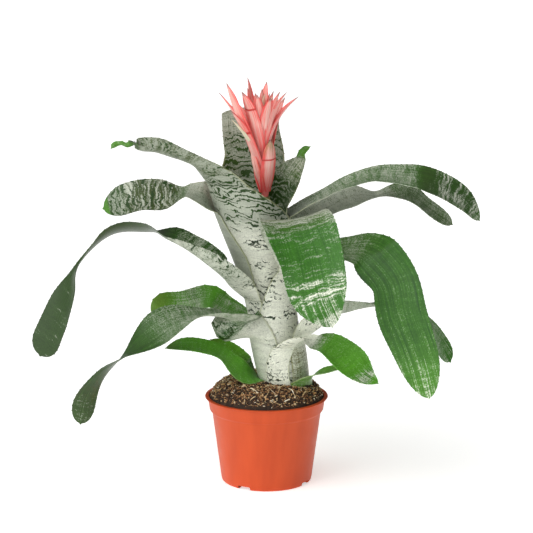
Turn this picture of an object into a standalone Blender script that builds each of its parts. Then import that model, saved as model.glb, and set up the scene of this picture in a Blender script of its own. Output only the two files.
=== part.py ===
# Potted silver vase plant: a bromeliad standing in a terracotta coloured plastic pot.
# Metres, +Z up. The origin is on the ground under the middle of the pot, +X is the
# right hand side and -Y is the front. Lengths below are in millimetres until a vertex is
# placed, where MM turns them to metres.

import math

import bmesh
import bpy
from mathutils import Matrix, Vector, noise

MM = 0.001
MERGE = 0.00002              # metres: points this close become one
GAP = 0.3                    # air between neighbouring pieces

# Pot: a 150 mm nursery pot, moulded with a rim band and a stacking ledge
POT_HEIGHT = 108.0
POT_STEPS = 36               # facets round the pot and the soil in it
LIP_RADIUS = 76.2
LIP_THICK = 1.5
BAND_TOP_RADIUS = 72.8
BAND_FOOT_RADIUS = 70.8
BAND_FOOT_Z = 91.5
LEDGE_RADIUS = 67.6
LEDGE_Z = 88.5
WALL_FOOT_RADIUS = 56.7
WALL_FOOT_Z = 5.0
FOOT_RADIUS = 54.3
WALL = 1.4
FLOOR = 1.5
FLOOR_RISE = 3.0             # the ring between the foot and the middle disc stands up
CHANNEL_INNER = 48.5
DISC_RADIUS = 15.0
NOTCH_ANGLES = (60.0, 150.0, 240.0, 330.0)
NOTCH_SIZE = (16.0, 17.0, 4.6)   # across the foot, along it, and up
DRAIN_COUNT = 4
DRAIN_RADIUS = 4.0
DRAIN_CIRCLE = 31.0
DRAIN_START = 15.0           # degrees

# Soil: a lumpy mound, with a plain hole that the plant stands in
SOIL_EDGE_Z = 106.5
SOIL_RISE = 23.0
SOIL_POWER = 6.0             # higher is flatter on top and steeper at the edge
SOIL_LUMP = 2.2
LUMP_WIDTHS = (11.0, 5.0)
SOIL_RINGS = (10.0, 22.0, 32.0, 40.0, 47.0, 54.0, 60.5, 66.5)

# Plant: leaf bases nest on cones round a leaning axis and stand on the stem's disc
PLANT_X = 22.0
PLANT_Z = 128.0              # height at which PLANT_X and VASE_RADIUS hold
VASE_LEAN = -0.175           # sideways shift of the axis per millimetre of height
VASE_RADIUS = 34.5           # outermost leaf base
VASE_FLARE = 0.113
VASE_WAIST = 8.0             # the vase draws in this much half way up its waist
VASE_WAIST_HEIGHT = 230.0
LAYER_PITCH = 1.8
LEAF_THICK = 0.8
LEAF_COLUMNS = 6
SHEATH_STEP = 40.0
BLADE_STEP = 19.5
TRACK_STEPS = 24             # samples between two rows of a blade, to measure its run
TIP_ROWS = (0.0, 4.0, 11.0, 21.0, 34.0)   # distances back from the leaf's end
TIP_LENGTH = 46.0            # where a leaf gives no tip length of its own
TIP_POWER = 2.2              # higher is blunter
BLEND_LENGTH = 40.0          # level leaf base turns to a blade square to its run
TOOTH = 2.2
TOOTH_BASE = 1.5
TOOTH_LEAN = 0.45

STEM_X = 23.0                # middle of the stem's foot and of its hole in the soil
HOLE_RADIUS = 36.8
HOLE_DEPTH = 60.0            # the cutter reaches well above the soil
HOLE_STEPS = 32
STEM_DISC_Z = 118.0
STEM_FOOT_Z = 98.0
STEM_FOOT_RADIUS = 28.0
STEM_STEPS = 28
STALK_RADIUS = 5.5
STALK_POINTS = ((20.0, 160.0), (13.0, 220.0), (5.0, 290.0), (-1.4, 356.5))

# Flower head: keeled bracts round a core, grown together at their feet
HEAD_FOOT = (-1.4, 0.0, 357.0)
HEAD_TILT = -3.2             # degrees from upright, to the left
HEAD_CORE = ((0.0, 0.0), (3.5, 0.0), (6.6, 14.0), (7.6, 34.0), (9.5, 60.0), (8.0, 80.0), (3.0, 90.0),
             (0.0, 91.0))
CORE_STEPS = 10
BRACT_THICK = 0.8
BRACT_SINK = 1.5             # how far a bract's foot goes into the core
BRACT_KEEL = 0.42            # fall of the margins below the midrib, as a share of the half width
BRACT_OUTLINE = (0.62, 0.95, 1.0, 0.9, 0.62, 0.05)
BRACT_KNEE = 0.65            # how far up a bract the control point of its arc lies
# Each bract: heading, height of its foot, reach and height of its tip, width, and the share
# of the reach that it has at its knee: low stays by the core and then bends out
BRACTS = (
    (194, 24, 50, 131, 14, 0.37), (216, 37, 47, 143.5, 18.5, 0.78), (236, 40, 36, 132, 19, 0.3),
    (146, 58, 16, 145, 9.5, 0.54), (264, 50, 25, 127, 15, 0.3), (304, 70, 6, 132, 10, 0.5),
    (38, 72, 12, 139, 14, 0.54), (294, 46, 33, 123, 16, 0.15), (323, 35, 31, 129, 15.5, 0.26),
    (335, 42, 36, 127, 17.5, 0.1), (4, 34, 47, 119, 22, 0), (220, 12, 46, 111, 17, 0.3),
    (308, 5, 16, 71, 22, 1.3), (64, 36, 38, 124, 11, 0.1), (85, 24, 44, 112, 15, 0.15),
    (114, 40, 36, 130, 15.5, 0.15), (135, 28, 46, 116, 15, 0.2), (160, 34, 38, 112, 14, 0.25),
    (46, 18, 44, 116, 16.5, 0.22), (45, 44, 24, 126, 11.5, 0.05), (170, 54, 22, 128, 12, 0.2),
    (100, 5, 16, 66, 22, 1.2), (205, 6, 15, 60, 20, 1.2), (250, 64, 14, 128, 12, 0.3),
    (331, 62, 14, 126, 12, 0.2), (20, 8, 14, 74, 18, 0.8),
)

# Each leaf: its layer counted inwards, its base as (height, heading, half angle), and its
# free blade as (x, y, z, width, cup, roll). Cup is the angle that the cross section
# bends through, and a plus roll lifts the margin on the heading's left.
LEAVES = {
    "leaf_old_left": dict(
        layer=0, material="old_green",
        base=((118.3, 190, 30), (131, 188, 26)),
        blade=((-30.5, -12, 143, 43, 60, -42), (-42, -10, 157, 41, 45, -46),
               (-55, -6, 170.5, 33, 35, -50), (-68, -4, 179, 20, 30, -50))),
    "leaf_old_right": dict(
        layer=0, material="old_green",
        base=((118.3, 318, 36), (131, 318, 35)),
        blade=((54.5, -30, 139.5, 31, 45, 5), (72.5, -34, 146.5, 30, 35, 18),
               (92.5, -37, 153, 25, 25, 20), (111, -40, 157.5, 22, 20, 18))),
    "leaf_back_low": dict(
        layer=0, material="leaf_green",
        base=((118.3, 95, 48), (150, 95, 42), (165, 95, 36)),
        blade=((14, 58, 196, 52, 80, 0), (9, 88, 224, 56, 60, 0), (4, 126, 236, 56, 45, 6),
               (-1, 166, 226, 54, 35, 10), (-6, 200, 198, 48, 30, 14), (-10, 222, 160, 42, 25, 18))),
    "leaf_small_left": dict(
        layer=1, material="leaf_bright", tip=20,
        base=((118.3, 198, 26), (132, 196, 27)),
        blade=((-32.5, -24, 143.5, 35.5, 52, -44), (-54.5, -26, 166, 28, 37, -37),
               (-77.5, -28, 176, 25.5, 30, -41), (-103, -30, 179, 25, 25, -31),
               (-122.5, -30, 175, 20, 20, -16))),
    "leaf_low_front": dict(
        layer=1, material="leaf_bright",
        base=((118.3, 256, 29), (150, 259, 23), (166, 271, 23), (176, 283, 23)),
        blade=((33, -44, 184.5, 26, 90, 3), (49.5, -57, 193.5, 19, 80, 21), (58, -66, 191, 27, 50, 43),
               (76.5, -78, 190, 42, 35, 37), (98.5, -94, 175.5, 46, 25, 42),
               (115.5, -106, 160, 38, 22, 38), (130.5, -114, 153.5, 29, 20, 32))),
    "leaf_low_left": dict(
        layer=2, material="leaf_green",
        base=((118.3, 232, 50), (165, 228, 46), (184, 227, 43)),
        blade=((-33, -35, 199.5, 66, 76, 48), (-43, -45, 214.5, 66, 56, 0),
               (-79, -55, 221.5, 53, 48, -12), (-113.5, -62, 214, 66, 35, -34),
               (-140.5, -66, 196.5, 58, 33, -36), (-172.5, -70, 172.5, 30, 28, -4),
               (-196, -72, 154, 23, 25, 26), (-215, -72, 127, 31, 25, 44),
               (-224.5, -70, 91.5, 39, 20, 75))),
    "leaf_tucked_right": dict(
        layer=2, material="leaf_green",
        base=((118.3, 335, 46), (160, 335, 40), (180, 331, 34)),
        blade=((60.5, -24, 200.5, 46, 90, -21), (79.5, -18, 215.5, 41, 60, -11),
               (105.5, -10, 218.5, 42, 45, 5), (141, 0, 221, 42, 35, 26), (172.5, 6, 217.5, 46, 30, 28),
               (203, 8, 192, 48, 17, 48), (228, 6, 149, 46, 15, 78))),
    "leaf_back_mid": dict(
        layer=2, material="leaf_green",
        base=((118.3, 70, 40), (190, 70, 38), (215, 70, 34)),
        blade=((34, 62, 252, 54, 70, 0), (40, 92, 280, 56, 55, 0), (50, 130, 290, 58, 45, -6),
               (60, 168, 276, 56, 35, -10), (68, 198, 244, 50, 30, -14), (73, 216, 200, 42, 25, -18))),
    "leaf_front": dict(
        layer=3, material="leaf_green",
        base=((118.3, 266, 46), (200, 280, 52), (232, 294, 40), (260, 307, 26)),
        blade=((35, -47, 286, 46, 72, 12), (27.5, -66, 330.5, 70, 42, -19),
               (32, -86, 344.5, 84, 30, -15), (40, -106, 334, 86, 27, -12),
               (51.5, -121, 304, 75.5, 27, -4), (61, -130, 262.5, 68, 25, 11),
               (76, -137, 227.5, 44, 22, 2))),
    "leaf_tucked_left": dict(
        layer=3, material="leaf_bright", tip=22,
        base=((118.3, 150, 48), (185, 150, 36), (198, 152, 29)),
        blade=((-54.5, 20, 214, 53, 55, -5), (-72.5, 22, 224.5, 50, 45, -10),
               (-101, 18, 218.5, 42, 35, -20), (-126.5, 10, 218.5, 36, 30, -30),
               (-140.5, 2, 209, 20, 25, -20))),
    "leaf_long_left": dict(
        layer=4, material="leaf_grey", tip=24,
        base=((118.3, 207, 56), (190, 206, 50), (210, 205, 48), (232, 204, 49)),
        blade=((-40, -29, 249, 64, 115, 4), (-51.5, -40, 264, 76, 148, -8),
               (-69, -45, 280.5, 75, 136, -14), (-91, -40, 297, 67, 110, -22),
               (-117, -31, 312, 57, 64, -28),
               (-147.5, -26, 320, 46, 37, -1), (-188, -28, 314.5, 52, 64, -11),
               (-224, -30, 283, 17, 38, -28), (-238, -30, 250, 44, 25, -50),
               (-255, -30, 214, 44.5, 17, -68), (-276, -30, 166, 42, 15, -86))),
    "leaf_long_right": dict(
        layer=4, material="leaf_bright",
        base=((118.3, 2, 50), (200, 8, 44), (232, 7, 33)),
        blade=((58, 4, 265, 54, 80, 0), (75.5, 0, 283, 57, 65, -3), (98, -9, 290.5, 54, 50, 2),
               (121.5, -22, 293, 56, 40, 14), (136.5, -38, 284.5, 62, 28, 34),
               (154.5, -50, 261, 58, 22, 37), (163.5, -60, 222, 62, 25, 42),
               (181.5, -68, 173, 54, 17, 47), (195, -74, 124.5, 39, 15, 55))),
    "leaf_upper_left": dict(
        layer=5, material="leaf_grey", tip=24,
        base=((118.3, 190, 54), (287, 190, 54), (328, 182, 36), (340, 182, 31)),
        blade=((-76.5, -13, 358, 56, 52, -18), (-92, -13, 364, 41, 42, -12),
               (-101, -12, 362.5, 30, 32, -16), (-122.5, -12, 359.5, 48, 30, -36),
               (-151.5, -12, 359.5, 48, 30, -40), (-176.5, -12, 352, 49, 25, -36),
               (-197, -12, 344.5, 39, 18, -35))),
    "leaf_upper_right": dict(
        layer=5, material="leaf_grey",
        base=((118.3, 38, 56), (285, 36, 42), (306, 33, 36)),
        blade=((74.5, 36, 334, 50, 60, 8), (107.5, 44, 348.5, 46, 45, 14),
               (137.5, 50, 349.5, 35, 35, -8), (162.5, 54, 353.5, 35, 28, 13),
               (182, 56, 350, 38, 25, 18), (200.5, 56, 335, 34, 22, 17), (231.5, 56, 313, 29, 23, 41))),
    "leaf_top_left": dict(
        layer=6.3, material="leaf_grey", tip=10,
        base=((118.3, 262, 58), (290, 262, 80), (333, 256, 84), (362, 240, 54), (376, 231, 42)),
        blade=((-65, -54, 391.5, 60, 55, 0), (-87.5, -62, 408, 42, 40, -4), (-125, -64, 424, 49, 34, 0),
               (-152.5, -62, 427.5, 38, 27, 0), (-154.5, -62, 430, 24, 60, -12),
               (-163.5, -61, 426.5, 11, 130, 5), (-172, -60, 429, 11, 130, 3),
               (-182, -58, 424.5, 16, 120, 3))),
    "leaf_top_right": dict(
        layer=7.7, material="leaf_green",
        base=((118.3, 14, 56), (310, 14, 42), (333, 14, 28)),
        blade=((70.5, 10, 354, 44, 60, 0), (97, 12, 368.5, 42, 50, 5), (129, 14, 380, 42, 32, 12),
               (166, 14, 379, 48, 32, 18), (200.5, 14, 372.5, 54, 25, 22), (239, 14, 352.5, 42, 17, 30),
               (260.5, 14, 326, 31, 20, 35))),
    "leaf_upright_back": dict(
        layer=8.7, material="leaf_grey", tip=7,
        base=((118.3, 100, 58), (340, 86, 55), (378, 84, 54)),
        blade=((-14, 51, 399.5, 77, 55, 0), (-18, 56, 427, 73, 48, -2),
               (-20.5, 62, 459, 71, 30, 0))),
    "leaf_upright_right": dict(
        layer=9.7, material="leaf_grey", tip=9,
        base=((118.3, 30, 54), (320, 27, 44), (345, 25, 38)),
        blade=((23, 15, 366.5, 45, 67, 25), (30, 16, 383, 37, 60, 31), (41.5, 17, 398.5, 17, 60, 34),
               (44, 18, 407.5, 12, 120, 30), (52.5, 19, 415, 14, 120, 10))),
}

COLOURS = {
    "pot_plastic": ((0.72, 0.19, 0.075), 0.42),
    "soil": ((0.045, 0.022, 0.012), 0.95),
    "stem": ((0.30, 0.34, 0.12), 0.6),
    "bract_pink": ((0.86, 0.16, 0.17), 0.5),
    "leaf_green": ((0.055, 0.16, 0.045), 0.38),
    "leaf_bright": ((0.05, 0.22, 0.03), 0.32),
    "leaf_grey": ((0.20, 0.26, 0.19), 0.55),
    "old_green": ((0.16, 0.22, 0.06), 0.5),
}


# Helpers

def clear_scene():
    for thing in list(bpy.data.objects):
        bpy.data.objects.remove(thing)


def new_collection(name):
    collection = bpy.data.collections.new(name)
    bpy.context.scene.collection.children.link(collection)
    return collection


def make_material(name):
    colour, roughness = COLOURS[name]
    material = bpy.data.materials.get(name)
    if material is None:
        material = bpy.data.materials.new(name)
        material.use_nodes = True
        shader = material.node_tree.nodes["Principled BSDF"]
        shader.inputs["Base Color"].default_value = (*colour, 1.0)
        shader.inputs["Roughness"].default_value = roughness
        shader.inputs["Metallic"].default_value = 0.0
    return material


def add_object(name, mesh, collection, material=None):
    thing = bpy.data.objects.new(name, mesh)
    collection.objects.link(thing)
    if material:
        mesh.materials.clear()
        mesh.materials.append(make_material(material))
    return thing


def mesh_from(bm, name):
    mesh = bpy.data.meshes.new(name)
    bm.to_mesh(mesh)
    bm.free()
    return mesh


def evaluated_mesh(thing):
    depsgraph = bpy.context.evaluated_depsgraph_get()
    return bpy.data.meshes.new_from_object(thing.evaluated_get(depsgraph))


def turned(name, profile, steps, collection, material):
    # A profile of (radius, height) runs from the axis round the section and back to it
    bm = bmesh.new()
    points = [bm.verts.new((r * MM, 0.0, z * MM)) for r, z in profile]
    for first, second in zip(points, points[1:]):
        bm.edges.new((first, second))
    thing = add_object(name, mesh_from(bm, name), collection, material)
    screw = thing.modifiers.new("turn", "SCREW")
    screw.axis = "Z"
    screw.steps = steps
    screw.render_steps = steps
    screw.use_merge_vertices = True
    screw.merge_threshold = MERGE
    screw.use_smooth_shade = False
    weld = thing.modifiers.new("close poles", "WELD")
    weld.merge_threshold = MERGE
    return thing


def make_cutter(name, bm, collection):
    cutter = add_object(name, mesh_from(bm, name), collection)
    cutter.hide_render = True
    cutter.display_type = "WIRE"
    return cutter


def cut(thing, cutter):
    boolean = thing.modifiers.new(cutter.name, "BOOLEAN")
    boolean.operation = "DIFFERENCE"
    boolean.solver = "EXACT"
    boolean.object = cutter


def smoothstep(value):
    value = min(1.0, max(0.0, value))
    return value * value * (3.0 - 2.0 * value)


def between(table, at):
    # Reads a row of values from a table whose first column rises
    for low, high in zip(table, table[1:]):
        if at <= high[0]:
            share = (at - low[0]) / (high[0] - low[0])
            return [a + (b - a) * share for a, b in zip(low[1:], high[1:])]
    return list(table[-1][1:])


# Pot

def pot_profile():
    inner = (
        (0.0, FLOOR),
        (DISC_RADIUS - 0.8, FLOOR),
        (DISC_RADIUS + 1.2, FLOOR + FLOOR_RISE),
        (CHANNEL_INNER - 1.2, FLOOR + FLOOR_RISE),
        (CHANNEL_INNER + 0.8, FLOOR),
        (WALL_FOOT_RADIUS - 2.0 * WALL, FLOOR),
        (WALL_FOOT_RADIUS - WALL, WALL_FOOT_Z),
        (LEDGE_RADIUS - WALL, LEDGE_Z + 0.8),
        (BAND_FOOT_RADIUS - WALL, BAND_FOOT_Z + 0.8),
        (BAND_TOP_RADIUS - WALL, POT_HEIGHT),
    )
    outer = (
        (LIP_RADIUS, POT_HEIGHT),
        (LIP_RADIUS, POT_HEIGHT - LIP_THICK),
        (BAND_TOP_RADIUS, POT_HEIGHT - LIP_THICK),
        (BAND_FOOT_RADIUS, BAND_FOOT_Z),
        (LEDGE_RADIUS, LEDGE_Z),
        (WALL_FOOT_RADIUS, WALL_FOOT_Z),
        (WALL_FOOT_RADIUS - 0.8, 1.4),
        (FOOT_RADIUS, 0.0),
    )
    underside = (
        (CHANNEL_INNER, 0.0),
        (CHANNEL_INNER - 2.0, FLOOR_RISE),
        (DISC_RADIUS + 2.0, FLOOR_RISE),
        (DISC_RADIUS, 0.0),
        (0.0, 0.0),
    )
    return inner + outer + underside


def build_pot(parts, cutters):
    pot = turned("pot", pot_profile(), POT_STEPS, parts, "pot_plastic")
    across, along, up = NOTCH_SIZE
    for number, angle in enumerate(NOTCH_ANGLES):
        bm = bmesh.new()
        bmesh.ops.create_cube(bm, size=1.0)
        bmesh.ops.scale(bm, verts=bm.verts, vec=(across * MM, along * MM, 2.0 * up * MM))
        bmesh.ops.translate(bm, verts=bm.verts, vec=(FOOT_RADIUS * MM, 0.0, 0.0))
        bmesh.ops.rotate(bm, verts=bm.verts, matrix=Matrix.Rotation(math.radians(angle), 3, "Z"))
        cut(pot, make_cutter(f"notch_cutter_{number + 1}", bm, cutters))
    for number in range(DRAIN_COUNT):
        angle = math.radians(DRAIN_START + 360.0 * number / DRAIN_COUNT)
        bm = bmesh.new()
        bmesh.ops.create_cone(bm, cap_ends=True, segments=12, radius1=DRAIN_RADIUS * MM,
                              radius2=DRAIN_RADIUS * MM, depth=20.0 * MM)
        centre = Vector((math.cos(angle), math.sin(angle), 0.0)) * DRAIN_CIRCLE * MM
        bmesh.ops.translate(bm, verts=bm.verts, vec=centre)
        cut(pot, make_cutter(f"drain_cutter_{number + 1}", bm, cutters))
    return pot


# Soil

def soil_height(x, y):
    radius = math.hypot(x, y)
    edge = BAND_TOP_RADIUS - WALL - GAP
    mound = SOIL_EDGE_Z + SOIL_RISE * (1.0 - min(1.0, radius / edge) ** SOIL_POWER)
    coarse, fine = (noise.noise(Vector((x / width, y / width, width))) for width in LUMP_WIDTHS)
    return mound + SOIL_LUMP * (coarse + 0.5 * fine)


def build_soil(parts, cutters):
    edge = BAND_TOP_RADIUS - WALL - GAP
    profile = [(0.0, soil_height(0.0, 0.0))]
    profile += [(r, soil_height(r, 0.0)) for r in SOIL_RINGS]
    profile += [
        (edge - 0.2, SOIL_EDGE_Z),
        (BAND_FOOT_RADIUS - WALL - GAP, BAND_FOOT_Z + 0.8 + GAP),
        (LEDGE_RADIUS - WALL - GAP, LEDGE_Z + 0.8 + GAP),
        (WALL_FOOT_RADIUS - WALL - GAP, WALL_FOOT_Z + GAP),
        (CHANNEL_INNER - 1.2, FLOOR + FLOOR_RISE + GAP),
        (0.0, FLOOR + FLOOR_RISE + GAP),
    ]
    blank = turned("soil_blank", profile, POT_STEPS, parts, "soil")
    mesh = evaluated_mesh(blank)
    bpy.data.objects.remove(blank)
    bm = bmesh.new()
    bm.from_mesh(mesh)
    for vert in bm.verts:
        x, y, z = vert.co / MM
        if z > SOIL_EDGE_Z + 0.5 or (z > SOIL_EDGE_Z - 6.0 and math.hypot(x, y) < edge - 1.0):
            vert.co.z = soil_height(x, y) * MM
    bmesh.ops.triangulate(bm, faces=bm.faces)
    soil = add_object("soil", mesh_from(bm, "soil"), parts, "soil")
    bm = bmesh.new()
    bmesh.ops.create_cone(bm, cap_ends=True, segments=HOLE_STEPS, radius1=HOLE_RADIUS * MM,
                          radius2=HOLE_RADIUS * MM, depth=HOLE_DEPTH * MM)
    middle = (STEM_X * MM, 0.0, (STEM_FOOT_Z - GAP + 0.5 * HOLE_DEPTH) * MM)
    bmesh.ops.translate(bm, verts=bm.verts, vec=middle)
    cut(soil, make_cutter("plant_hole_cutter", bm, cutters))
    return soil


# Stem: the short disc that the leaves stand on, and the flower stalk

def build_stem(parts):
    bm = bmesh.new()
    height = STEM_DISC_Z - STEM_FOOT_Z
    bmesh.ops.create_cone(bm, cap_ends=True, segments=STEM_STEPS, radius1=STEM_FOOT_RADIUS * MM,
                          radius2=VASE_RADIUS * MM, depth=height * MM)
    middle = (STEM_X * MM, 0.0, (STEM_FOOT_Z + 0.5 * height) * MM)
    bmesh.ops.translate(bm, verts=bm.verts, vec=middle)
    top = max(bm.faces, key=lambda face: face.calc_center_median().z)
    inset = VASE_RADIUS - STALK_RADIUS
    bmesh.ops.inset_individual(bm, faces=[top], thickness=inset * MM, use_even_offset=False)
    centre = Vector((STEM_X, 0.0, STEM_DISC_Z))
    for x, z in STALK_POINTS:
        grown = bmesh.ops.extrude_discrete_faces(bm, faces=[top])
        top = grown["faces"][0]
        step = Vector((x, 0.0, z)) - centre
        bmesh.ops.translate(bm, verts=top.verts, vec=step * MM)
        centre = Vector((x, 0.0, z))
    return add_object("stem", mesh_from(bm, "stem"), parts, "stem")


# Flower head

def bract_spine(start, end, knee_share, share):
    # A plain arc from the core to the tip: its point and its direction at a share of it
    knee = Vector((start.x + knee_share * (end.x - start.x), start.y + BRACT_KNEE * (end.y - start.y)))
    first, second = start.lerp(knee, share), knee.lerp(end, share)
    return first.lerp(second, share), (second - first).normalized()


def build_bract(number, heading, foot, reach, height, width, knee_share, collection):
    rows = len(BRACT_OUTLINE) - 1
    angle = math.radians(heading)
    out = Vector((math.cos(angle), math.sin(angle), 0.0))
    side = Vector((-math.sin(angle), math.cos(angle), 0.0))
    up = Vector((0.0, 0.0, 1.0))
    core_radius = between([(z, r) for r, z in HEAD_CORE[1:-1]], foot)[0]
    start, end = Vector((core_radius - BRACT_SINK, foot)), Vector((reach, height))
    bm = bmesh.new()
    bmesh.ops.create_grid(bm, x_segments=2, y_segments=rows, size=1.0)
    for vert in bm.verts:
        row = round((vert.co.y + 1.0) * 0.5 * rows)
        point, along = bract_spine(start, end, knee_share, row / rows)
        face = out * along.y - up * along.x
        half = 0.5 * width * BRACT_OUTLINE[row]
        across = vert.co.x * half
        vert.co = (out * point.x + up * point.y + side * across - face * abs(across) * BRACT_KEEL) * MM
    bmesh.ops.triangulate(bm, faces=bm.faces)
    bract = add_object(f"bract_{number}", mesh_from(bm, f"bract_{number}"), collection)
    solid = bract.modifiers.new("thickness", "SOLIDIFY")
    solid.thickness = BRACT_THICK * MM
    solid.offset = 0.0
    return bract


def largest_shell(bm):
    # Drops loose scraps and the walls of hollows that the union has sealed
    shells = []
    seen = set()
    for start in bm.faces:
        if start in seen:
            continue
        shell = [start]
        seen.add(start)
        for face in shell:
            for edge in face.edges:
                for other in edge.link_faces:
                    if other not in seen:
                        seen.add(other)
                        shell.append(other)
        shells.append(shell)
    keep = max(shells, key=len)
    drop = [face for shell in shells if shell is not keep for face in shell]
    bmesh.ops.delete(bm, geom=drop, context="FACES")


def build_flower_head(parts):
    petals = new_collection("bracts")
    for number, values in enumerate(BRACTS):
        build_bract(number, *values, petals)
    core = turned("core", HEAD_CORE[::-1], CORE_STEPS, parts, "bract_pink")
    union = core.modifiers.new("grown together", "BOOLEAN")
    union.operation = "UNION"
    union.solver = "EXACT"
    union.operand_type = "COLLECTION"
    union.collection = petals
    mesh = evaluated_mesh(core)
    for thing in [core, *petals.objects]:
        bpy.data.objects.remove(thing)
    bpy.data.collections.remove(petals)
    bm = bmesh.new()
    bm.from_mesh(mesh)
    largest_shell(bm)
    tilt = Matrix.Rotation(math.radians(HEAD_TILT), 4, "Y")
    place = Matrix.Translation(Vector(HEAD_FOOT) * MM) @ tilt
    bmesh.ops.transform(bm, matrix=place, verts=bm.verts)
    bmesh.ops.triangulate(bm, faces=bm.faces)
    return add_object("flower_head", mesh_from(bm, "flower_head"), parts, "bract_pink")


# Leaves

def vase_section(layer, height, heading, half_angle):
    # One level cross section of a leaf base, on the cone of its layer
    angle = math.radians(heading)
    out = Vector((math.cos(angle), math.sin(angle), 0.0))
    rise = height - PLANT_Z
    waist = math.cos(math.tau * min(max(rise / VASE_WAIST_HEIGHT, 0.0), 1.0))
    radius = VASE_RADIUS + VASE_FLARE * rise - LAYER_PITCH * layer - 0.5 * VASE_WAIST * (1.0 - waist)
    axis = Vector((PLANT_X + VASE_LEAN * rise, 0.0, height))
    side = Vector((-out.y, out.x, 0.0))
    return dict(point=axis + out * radius, side=side, up=-out,
                width=2.0 * math.radians(half_angle) * radius, cup=2.0 * half_angle)


def spline_value(track, index, share):
    # Catmull-Rom through the rows of a track, with its two ends carried on straight
    last = len(track) - 1
    p1, p2 = track[index], track[index + 1]
    p0 = track[index - 1] if index > 0 else [2 * a - b for a, b in zip(p1, p2)]
    p3 = track[index + 2] if index + 2 <= last else [2 * b - a for a, b in zip(p1, p2)]
    out = []
    for a, b, c, d in zip(p0, p1, p2, p3):
        out.append(0.5 * (2 * b + (c - a) * share + (2 * a - 5 * b + 4 * c - d) * share ** 2
                          + (3 * b - a - 3 * c + d) * share ** 3))
    return out


def walk_blade(track):
    # Samples the blade's track finely and gives each sample its distance from the start
    samples = []
    distance = 0.0
    for index in range(len(track) - 1):
        for step in range(TRACK_STEPS):
            values = spline_value(track, index, step / TRACK_STEPS)
            if samples:
                distance += (Vector(values[:3]) - Vector(samples[-1][1][:3])).length
            samples.append((distance, values))
    values = list(track[-1])
    distance += (Vector(values[:3]) - Vector(samples[-1][1][:3])).length
    samples.append((distance, values))
    return samples


def blade_sections(track, side, up, tip_length):
    samples = walk_blade(track)
    length = samples[-1][0]
    stops = [length - back for back in TIP_ROWS]
    body = stops.pop()
    count = max(1, round(body / BLADE_STEP))
    stops = sorted(stops + [body * (n + 1) / count for n in range(count)])
    sections = []
    level_side, level_up = side, up
    tangent = None
    for number, (distance, values) in enumerate(samples):
        ahead = samples[min(number + 1, len(samples) - 1)][1]
        behind = samples[max(number - 1, 0)][1]
        new_tangent = (Vector(ahead[:3]) - Vector(behind[:3])).normalized()
        if tangent is not None:
            side = tangent.rotation_difference(new_tangent) @ side
        tangent = new_tangent
        side = (side - tangent * side.dot(tangent)).normalized()
        while stops and distance >= stops[0] - 1e-6:
            stops.pop(0)
            blend = smoothstep(distance / BLEND_LENGTH)
            square_up = tangent.cross(side)
            row_side = level_side.lerp(side, blend).normalized()
            row_up = level_up.lerp(square_up, blend).normalized()
            turn = Matrix.Rotation(math.radians(values[5]), 3, tangent)
            back = length - distance
            taper = 1.0
            if back < tip_length:
                taper = math.sqrt(max(0.0, 1.0 - (1.0 - back / tip_length) ** TIP_POWER))
            sections.append(dict(point=Vector(values[:3]), side=turn @ row_side, up=turn @ row_up,
                                 width=values[3] * taper, cup=values[4]))
    return sections


def leaf_sections(spec):
    base = spec["base"]
    heights = [base[0][0]]
    for low, high in zip(base, base[1:]):
        count = math.ceil((high[0] - low[0]) / SHEATH_STEP)
        heights += [low[0] + (high[0] - low[0]) * (n + 1) / count for n in range(count)]
    sections = [vase_section(spec["layer"], z, *between(base, z)) for z in heights]
    top = sections[-1]
    track = [[*top["point"], top["width"], top["cup"], 0.0]]
    track += [list(row) for row in spec["blade"]]
    tip_length = spec.get("tip", TIP_LENGTH)
    return sections + blade_sections(track, top["side"], top["up"], tip_length)


def section_point(section, across):
    bend = math.radians(section["cup"])
    radius = section["width"] / bend
    angle = 0.5 * bend * across
    return section["point"] + section["side"] * radius * math.sin(angle) \
        + section["up"] * radius * (1.0 - math.cos(angle))


def add_teeth(bm, sections, grid):
    # Every second margin point is drawn out to a small spine that leans to the tip
    for column, sign in ((0, -1.0), (LEAF_COLUMNS, 1.0)):
        for row in range(1, len(sections) - 3, 2):
            vert = grid[row][column]
            before, after = grid[row - 1][column], grid[row + 1][column]
            for other in (before, after):
                edge = bm.edges.get((vert, other))
                share = TOOTH_BASE * MM / edge.calc_length()
                bmesh.utils.edge_split(edge, vert, share)
            inner = grid[row][column + (1 if column == 0 else -1)]
            outward = (vert.co - inner.co).normalized()
            forward = (after.co - vert.co).normalized()
            vert.co += (outward + TOOTH_LEAN * forward) * TOOTH * MM


def build_leaf(name, spec, parts):
    sections = leaf_sections(spec)
    rows = len(sections) - 1
    bm = bmesh.new()
    bmesh.ops.create_grid(bm, x_segments=LEAF_COLUMNS, y_segments=rows, size=1.0)
    grid = [[None] * (LEAF_COLUMNS + 1) for _ in range(rows + 1)]
    for vert in bm.verts:
        column = round((vert.co.x + 1.0) * 0.5 * LEAF_COLUMNS)
        row = round((vert.co.y + 1.0) * 0.5 * rows)
        grid[row][column] = vert
    for row, section in enumerate(sections):
        for column, vert in enumerate(grid[row]):
            across = 2.0 * column / LEAF_COLUMNS - 1.0
            vert.co = section_point(section, across) * MM
    add_teeth(bm, sections, grid)
    bmesh.ops.pointmerge(bm, verts=grid[rows], merge_co=sections[-1]["point"] * MM)
    bmesh.ops.triangulate(bm, faces=bm.faces)
    bmesh.ops.recalc_face_normals(bm, faces=bm.faces)
    leaf = add_object(name, mesh_from(bm, name), parts, spec["material"])
    solid = leaf.modifiers.new("thickness", "SOLIDIFY")
    solid.thickness = LEAF_THICK * MM
    solid.offset = 0.0
    return leaf


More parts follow.
